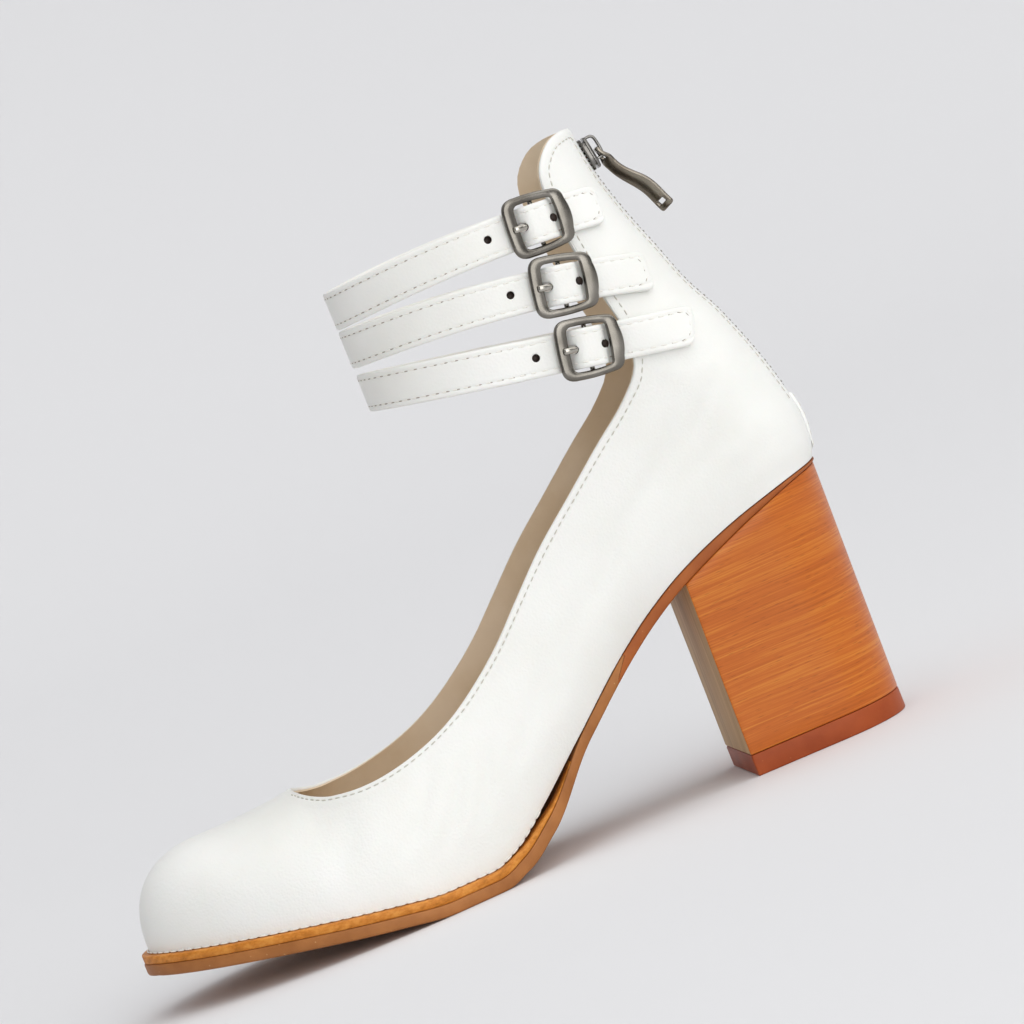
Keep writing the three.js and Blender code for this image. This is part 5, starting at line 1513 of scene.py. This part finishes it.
def side_place(row, x, across, side):
    """Place and outward direction of a strap beside the ankle, at an offset across it."""
    slope = strap_slope(row, x)
    at_x = x - across * slope / np.sqrt(1 + slope ** 2)
    at_z = strap_height(row, x) + across / np.sqrt(1 + slope ** 2)
    lean_x = (strap_side_y(at_x + 0.2, at_z, side) - strap_side_y(at_x - 0.2, at_z, side)) / 0.4
    lean_z = (strap_side_y(at_x, at_z + 0.2, side) - strap_side_y(at_x, at_z - 0.2, side)) / 0.4
    out = np.stack((-lean_x, side + 0 * at_x, -lean_z), axis=-1)
    out /= np.linalg.norm(out, axis=-1, keepdims=True)
    return np.stack((at_x, side * strap_side_y(at_x, at_z, side), at_z), axis=-1), out


def front_place(row, angle, across):
    """Place and outward direction of a strap round the front of the ankle."""
    reach = STRAP_REACH + STRAP_WAIST_X
    x = STRAP_WAIST_X - reach * np.sin(angle)
    slope = strap_slope(row, x)
    at = np.stack((x - across * slope * np.abs(np.cos(angle)), STRAP_BOW * np.cos(angle) + 0 * across,
                   strap_height(row, x) + across), axis=-1)
    out = np.stack((-STRAP_BOW * np.sin(angle) + 0 * across, reach * np.cos(angle) + 0 * across,
                    0 * (angle + across)), axis=-1)
    return at, out / np.linalg.norm(out, axis=-1, keepdims=True)


def buckle_frame(row):
    """Middle of a buckle, and its directions along the strap, across it and out of it."""
    zero = np.array([0.0])
    start = side_place(row, zero + BUCKLE_X - 5, zero, -1)[0][0]
    end = side_place(row, zero + BUCKLE_X + 5, zero, -1)[0][0]
    along = (end - start) / np.linalg.norm(end - start)
    out = np.array([along[1], -along[0], 0.0])
    out /= np.linalg.norm(out)
    origin = side_place(row, zero + BUCKLE_X, zero, -1)[0][0] + out * BAR_OUT
    return origin, along, np.cross(out, along), out


def strap_surface(row, axes, across_at):
    """Middle of the strap and its outward direction along its length, at offsets across it."""
    origin, along, up, out_axis = axes
    half_buckle = BUCKLE_LENGTH / 2
    far_off = 99.0
    anchor = edge_x(strap_height(row, BUCKLE_X)) + MEDIAL_LAP
    tail = BUCKLE_X + STRAP_REACH * row[4]
    inner_x = np.linspace(anchor, STRAP_WAIST_X, 36, endpoint=False)
    angles = np.linspace(0, math.pi, 90)
    outer_x = np.concatenate((
        np.linspace(STRAP_WAIST_X, BUCKLE_X - half_buckle, 16, endpoint=False)[1:],
        np.linspace(BUCKLE_X - half_buckle, BUCKLE_X + half_buckle, 54, endpoint=False),
        np.linspace(BUCKLE_X + half_buckle, tail - 3.0, 16, endpoint=False),
        tail - np.array([3.0, 2.4, 1.9, 1.5, 1.1, 0.8, 0.5, 0.3, 0.14, 0.04, 0.0]),
    ))
    to_tail = np.concatenate((np.full(len(inner_x) + len(angles), far_off), tail - outer_x))
    across = across_at(to_tail)
    count = across.shape[1]
    first = len(inner_x)
    second = first + len(angles)
    at = np.empty((len(to_tail), count, 3))
    out = np.empty_like(at)
    at[:first], out[:first] = side_place(row, inner_x[:, None] + 0 * across[:first], across[:first], 1)
    at[first:second], out[first:second] = front_place(row, angles[:, None] + 0 * across[first:second],
                                                      across[first:second])
    shear = row[5] * across[second:] * smoothstep(9.0 - to_tail[second:, None], 0, 9)
    at[second:], out[second:] = side_place(row, outer_x[:, None] + shear, across[second:], -1)
    u = (at - origin) @ along
    share = np.minimum(np.abs(u) / (half_buckle - BUCKLE_BAR), 1)
    lift = (BAR_OUT + PIN_OUT) * (1 - share ** PUFF_POWER) * (at[..., 1] < 0) * (np.abs(u) < BUCKLE_LENGTH)
    return at + lift[..., None] * out_axis, out, to_tail


strap_leather = white_leather("white_strap_leather", "#F2F2EE", 0.8, 0.45)
# near-black walls of the punched holes and slot, and the discs behind them: painted shade inside the holes
hole_shade_paint = bonded_thread("dark_hole_wall_shade", "#2E211A")
pewter = metal("antique_pewter", "#837F78", "#625E57", 0.2, 0.05)
prong_metal = metal("polished_pewter", "#BDB9B0", "#8A867D", 0.2, 0.08)


def strap_section():
    """Offsets across the strap and depths through it, once round: a domed face with a groove by each edge."""
    half = STRAP_WIDTH / 2
    groove = half - STRAP_STITCH_INSET
    face = [-half, -half + 0.06, -half + 0.22, -half + 0.5, -half + 0.9]
    face += [-groove - 0.4, -groove - 0.2, -groove, -groove + 0.2, -groove + 0.4, -3.0, -1.8, -0.6]
    face = np.array(face + [-value for value in reversed(face)])
    from_side = half - np.abs(face)
    round_part = 0.7 * (1 - np.sqrt(1 - np.clip(1 - from_side / 0.7, 0, 1) ** 2))
    dip = 0.13 * np.exp(-((from_side - STRAP_STITCH_INSET) / 0.3) ** 2)
    top = STRAP_THICKNESS / 2 - round_part - dip
    back = np.array([half - 0.05, half - 0.5, 2.0, -2.0, -half + 0.5, -half + 0.05])
    back_depth = np.array([-0.45, -0.8, -0.8, -0.8, -0.8, -0.45])
    return np.concatenate((face, back)), np.concatenate((top, back_depth))


SECTION_ACROSS, SECTION_DEPTH = strap_section()


def clipped_across(to_tail):
    """Section offsets drawn in at the tail's rounded corners."""
    limit = STRAP_WIDTH / 2 - rounded_end(to_tail, 2.2)
    return SECTION_ACROSS[None, :] * (limit / (STRAP_WIDTH / 2))[:, None]


def rounded_loop(corners, radii, bows, side_steps=14, corner_steps=8):
    """A closed outline of sides that bow outwards and round corners, with the same count for any sizes."""
    corners = np.array(corners, float)
    points = []
    for k in range(4):
        corner = corners[k]
        before = corners[k - 1] - corner
        after = corners[(k + 1) % 4] - corner
        start = corner + before / np.linalg.norm(before) * radii[k]
        end = corner + after / np.linalg.norm(after) * radii[k]
        for i in range(corner_steps):
            t = i / corner_steps
            points.append((1 - t) ** 2 * start + 2 * t * (1 - t) * corner + t * t * end)
        target = corners[(k + 1) % 4]
        stop = target - after / np.linalg.norm(after) * radii[(k + 1) % 4]
        outward = np.array([after[1], -after[0]]) / np.linalg.norm(after)
        for i in range(side_steps):
            t = i / side_steps
            points.append(end + (stop - end) * t + outward * bows[k] * (1 - (2 * t - 1) ** 2))
    return np.array(points)


def buckle_points(axes):
    """Frame of a buckle: a cast loop of soft square bars, whose rear bar is flatter and bows out and up."""
    origin, along, up, out = axes
    half = BUCKLE_LENGTH / 2
    front = BUCKLE_FRONT / 2
    rear = BUCKLE_REAR / 2
    rail = BUCKLE_RAIL
    outside = rounded_loop([(-half, -front), (half, -rear), (half, rear), (-half, front)],
                           (4.8, 3.6, 3.6, 4.8), (0.25, 0.7, 0.25, 0.12))
    inside = rounded_loop([(-half + BUCKLE_BAR, -front + rail), (half - BUCKLE_BAR, -STRAP_WIDTH / 2 - GAP),
                           (half - BUCKLE_BAR, STRAP_WIDTH / 2 + GAP), (-half + BUCKLE_BAR, front - rail)],
                          (2.2, 1.0, 1.0, 2.2), (0.2, 0.2, 0.2, 0.1))
    rear_share = smoothstep(outside[:, 0], half - 4.5, half - 1.5)
    points = []
    for turn in np.linspace(0, 2 * math.pi, 20, endpoint=False):
        power = 0.62 - 0.17 * rear_share
        cosine = soft(math.cos(turn), power)
        sine = soft(math.sin(turn), power)
        spread = (outside + inside) / 2 + (outside - inside) / 2 * cosine[:, None]
        crown = 0.3 * rear_share * (1 - (spread[:, 1] / rear) ** 2)
        height = BUCKLE_DEPTH / 2 * sine * (1 - 0.12 * rear_share) + crown * (sine > -0.5)
        points.append(origin + spread[:, :1] * along + spread[:, 1:] * up + height[:, None] * out)
    rings = np.stack(points, axis=1)
    return rings.reshape(-1, 3), ring_faces(*rings.shape[:2], looped=True)


def rod(start, end, radius, sides=18):
    """A straight round rod between two places."""
    axis = (end - start) / np.linalg.norm(end - start)
    first = np.cross(axis, np.array([0.3, 0.9, 0.2]))
    first /= np.linalg.norm(first)
    second = np.cross(axis, first)
    angles = np.linspace(0, 2 * math.pi, sides, endpoint=False)
    ring = np.cos(angles)[:, None] * first + np.sin(angles)[:, None] * second
    length = np.linalg.norm(end - start)
    stations = ((0, 0.7), (0.12, 0.93), (0.3, 1), (length - 0.3, 1), (length - 0.12, 0.93), (length, 0.7))
    points = [start + axis * at + ring * radius * share for at, share in stations]
    return np.concatenate(points), ring_faces(len(stations), sides)


def swept_bar(centres, half_width, half_height, axes, power=0.6, sides=16):
    """A bar along places in a buckle's profile plane: (along, out) points, with a soft square section."""
    origin, along, up, out = axes
    centres = np.array(centres, float)
    headings = np.gradient(centres, axis=0)
    headings /= np.linalg.norm(headings, axis=1, keepdims=True)
    rings = []
    for (u, w), (du, dw), width, height in zip(centres, headings, half_width, half_height):
        normal = -dw * along + du * out
        for turn in np.linspace(0, 2 * math.pi, sides, endpoint=False):
            across = soft(math.cos(turn), power) * width
            rise = soft(math.sin(turn), power) * height
            rings.append(origin + u * along + w * out + across * up + rise * normal)
    return np.array(rings), ring_faces(len(centres), sides)


def prong_points(axes):
    """Prong: an eye round the pin and an arm that rises through the strap and rests on the front bar."""
    rest = BUCKLE_DEPTH / 2 + 0.12 + PRONG_THICKNESS / 2
    half = BUCKLE_LENGTH / 2
    keys = np.array([(-1.2, -1.1), (-2.6, -0.1), (-4.0, 1.0), (-5.2, rest - 0.2), (-6.2, rest), (-7.1, rest),
                     (-half + PRONG_TIP + 0.3, rest - 0.12), (-half + PRONG_TIP, rest - 0.28)])
    arm = spaced_curve(keys, np.linspace(0, 1, 34))
    to_tip = arm[:, 0] - arm[-1, 0]
    width = PRONG_WIDTH / 2 * (0.85 + 0.3 * smoothstep(-arm[:, 0], 4.0, 6.5)) - rounded_end(to_tip, 0.55)
    height = PRONG_THICKNESS / 2 - rounded_end(to_tip, 0.5) * 0.9
    return swept_bar(arm, np.maximum(width, 0.12), np.maximum(height, 0.1), axes)


def eye_points(axes, width, around=32, sides=12):
    """A round eye about the pin."""
    origin, along, up, out = axes
    middle = (EYE_RADIUS + PIN_RADIUS + GAP) / 2
    thick = (EYE_RADIUS - PIN_RADIUS - GAP) / 2
    points = []
    for turn in np.linspace(0, 2 * math.pi, around, endpoint=False):
        spoke = along * math.cos(turn) + out * math.sin(turn)
        for t in np.linspace(0, 2 * math.pi, sides, endpoint=False):
            far = middle + thick * soft(math.cos(t), 0.6)
            side = width / 2 * soft(math.sin(t), 0.6)
            points.append(origin - out * PIN_SINK + spoke * far + up * side)
    return np.array(points), ring_faces(around, sides, looped=True)


def joined(*parts):
    """Parts, each with its points and faces, as one list of each."""
    points = []
    faces = []
    for part_points, part_faces in parts:
        first = sum(len(block) for block in points)
        points.append(part_points)
        faces.extend(tuple(first + v for v in face) for face in part_faces)
    return np.concatenate(points), faces


# The holes are drawn a little narrower than the solid's, as the punched leather closes round them.
DRAWN_HOLE = HOLE_WIDTH * 0.9
DRAWN_SLOT = HOLE_WIDTH * 0.92
strap_runs = []
for row in STRAP_ROWS:
    name = row[0]
    frame_axes = buckle_frame(row)
    origin, along, up, out = frame_axes
    at, outs, to_tail = strap_surface(row, frame_axes, clipped_across)
    thin = 1 - 0.35 * (1 - smoothstep(to_tail, 0, 0.9))
    rings = at + outs * (SECTION_DEPTH[None, :] * thin[:, None])[..., None]
    strap = new_piece(f"strap_{name}_leather", rings.reshape(-1, 3), ring_faces(*rings.shape[:2]),
                      [strap_leather, hole_shade_paint], 60)
    tidy_mesh(strap)
    # the cut walls of the holes and slot take the near-black painted hole shade
    for place in HOLES:
        circle = soft_rectangle(DRAWN_HOLE, DRAWN_HOLE, HOLE_WIDTH * 0.4499, place)
        cut_out(strap, *prism(circle, origin, along, up, out, 12), hole_shade_paint)
    slot_outline = soft_rectangle(PRONG_SLOT_LENGTH, DRAWN_SLOT, HOLE_WIDTH * 0.4599, PRONG_SLOT_PLACE)
    cut_out(strap, *prism(slot_outline, origin, along, up, out, 12), hole_shade_paint)
    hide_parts(f"strap_{name}")
    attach(strap, "shoe")

    groove = STRAP_WIDTH / 2 - STRAP_STITCH_INSET
    line_at, line_out, line_tail = strap_surface(
        row, frame_axes, lambda far: np.full((len(far), 1), groove) * [[1.0, -1.0]])
    keep = line_tail >= STRAP_STITCH_INSET + 0.3
    face_line = line_at + line_out * (STRAP_THICKNESS / 2 - 0.1)
    turn_across = np.linspace(groove - 0.5, 0.5 - groove, 9)[None, :]
    end_at, end_out, end_tail = strap_surface(
        row, frame_axes, lambda far: np.full((len(far), 1), 1.0) * turn_across)
    last = int(np.argmin(np.abs(end_tail - STRAP_STITCH_INSET)))
    end_line = end_at[last] + end_out[last] * (STRAP_THICKNESS / 2 - 0.1)
    run = np.concatenate((face_line[keep, 0], end_line, face_line[keep, 1][::-1]))
    run_out = np.concatenate((line_out[keep, 0], end_out[last], line_out[keep, 1][::-1]))
    strap_runs.append((run, run_out))

    loop = buckle_points(frame_axes)
    pin_end = (BUCKLE_FRONT + BUCKLE_REAR) / 4 - BUCKLE_RAIL * 0.5
    pin_centre = origin - out * PIN_SINK
    pin = rod(pin_centre - up * pin_end, pin_centre + up * pin_end, PIN_RADIUS)
    lugs = [rod(pin_centre + up * side * (pin_end - 0.4), origin + up * side * (pin_end + 0.1), 0.95)
            for side in (-1, 1)]
    buckle = new_piece(f"buckle_{name}_loop", *joined(loop, pin, *lugs), [pewter], 60)
    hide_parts(f"buckle_frame_{name}")
    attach(buckle, "shoe")
    tongue = joined(prong_points(frame_axes), eye_points(frame_axes, PRONG_WIDTH))
    prong = new_piece(f"buckle_{name}_tongue", *tongue, [prong_metal], 60)
    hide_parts(f"buckle_prong_{name}")
    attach(prong, "shoe")
    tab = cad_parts[f"buckle_tab_{name}"]
    tab.data.materials.clear()
    tab.data.materials.append(strap_leather)
strap_thread = bonded_thread("white_strap_thread", "#ECE9E1")
# grey beads between the stitches: painted shade of the needle holes
needle_hole_shadow = bonded_thread("grey_needle_hole_shadows", "#A39A8E")
for name, (run, run_out) in zip(("top", "middle", "bottom"), strap_runs):
    lengths = np.concatenate(([0.0], np.cumsum(np.linalg.norm(np.diff(run, axis=0), axis=1))))
    spacing = lengths[-1] / int(lengths[-1] / STRAP_STITCH_PITCH)
    sew(f"strap_{name}_stitches", [(run, run_out)], strap_thread, spacing * 0.999, 1.9, 0.4)
    between = np.arange(spacing / 2, lengths[-1], spacing)
    holes = np.column_stack([np.interp(between, lengths, run[:, k]) for k in range(3)])
    ways = np.column_stack([np.interp(between, lengths, run_out[:, k]) for k in range(3)])
    sew(f"strap_{name}_needle_hole_shadows", [(holes + 0.02 * ways, ways)], needle_hole_shadow,
        spacing * 0.97, 1.5, 0.34)

# Painted shade: a thin dark disc inside the strap behind each punched hole, so that the hole shows dark
# as if shaded.
DISC_SIDES = 24
shade_disc_points = []
shade_disc_faces = []
for row in STRAP_ROWS:
    origin, along, up, out = buckle_frame(row)
    for place in HOLES:
        x = BUCKLE_X + place * along[0]
        at, way = side_place(row, np.array([x]), np.array([0.0]), -1)
        u = (at[0] - origin) @ along
        share = min(abs(u) / (BUCKLE_LENGTH / 2 - BUCKLE_BAR), 1)
        centre = at[0] + out * (BAR_OUT + PIN_OUT) * (1 - share ** PUFF_POWER)
        centre = centre - way[0] * STRAP_THICKNESS * 0.25
        first = len(shade_disc_points) * DISC_SIDES
        axis = np.cross(way[0], up)
        axis /= np.linalg.norm(axis)
        angles = np.linspace(0, 2 * math.pi, DISC_SIDES, endpoint=False)
        rim = np.cos(angles)[:, None] * axis + np.sin(angles)[:, None] * up
        shade_disc_points.append(centre + HOLE_WIDTH * 0.56 * rim)
        shade_disc_faces.append(tuple(range(first, first + DISC_SIDES)))
shade_disc = new_piece("strap_shade_disc", np.concatenate(shade_disc_points), shade_disc_faces, [hole_shade_paint])
thicken = shade_disc.modifiers.new("thicken", "SOLIDIFY")
thicken.thickness = 0.25 * MM
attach(shade_disc, "shoe")
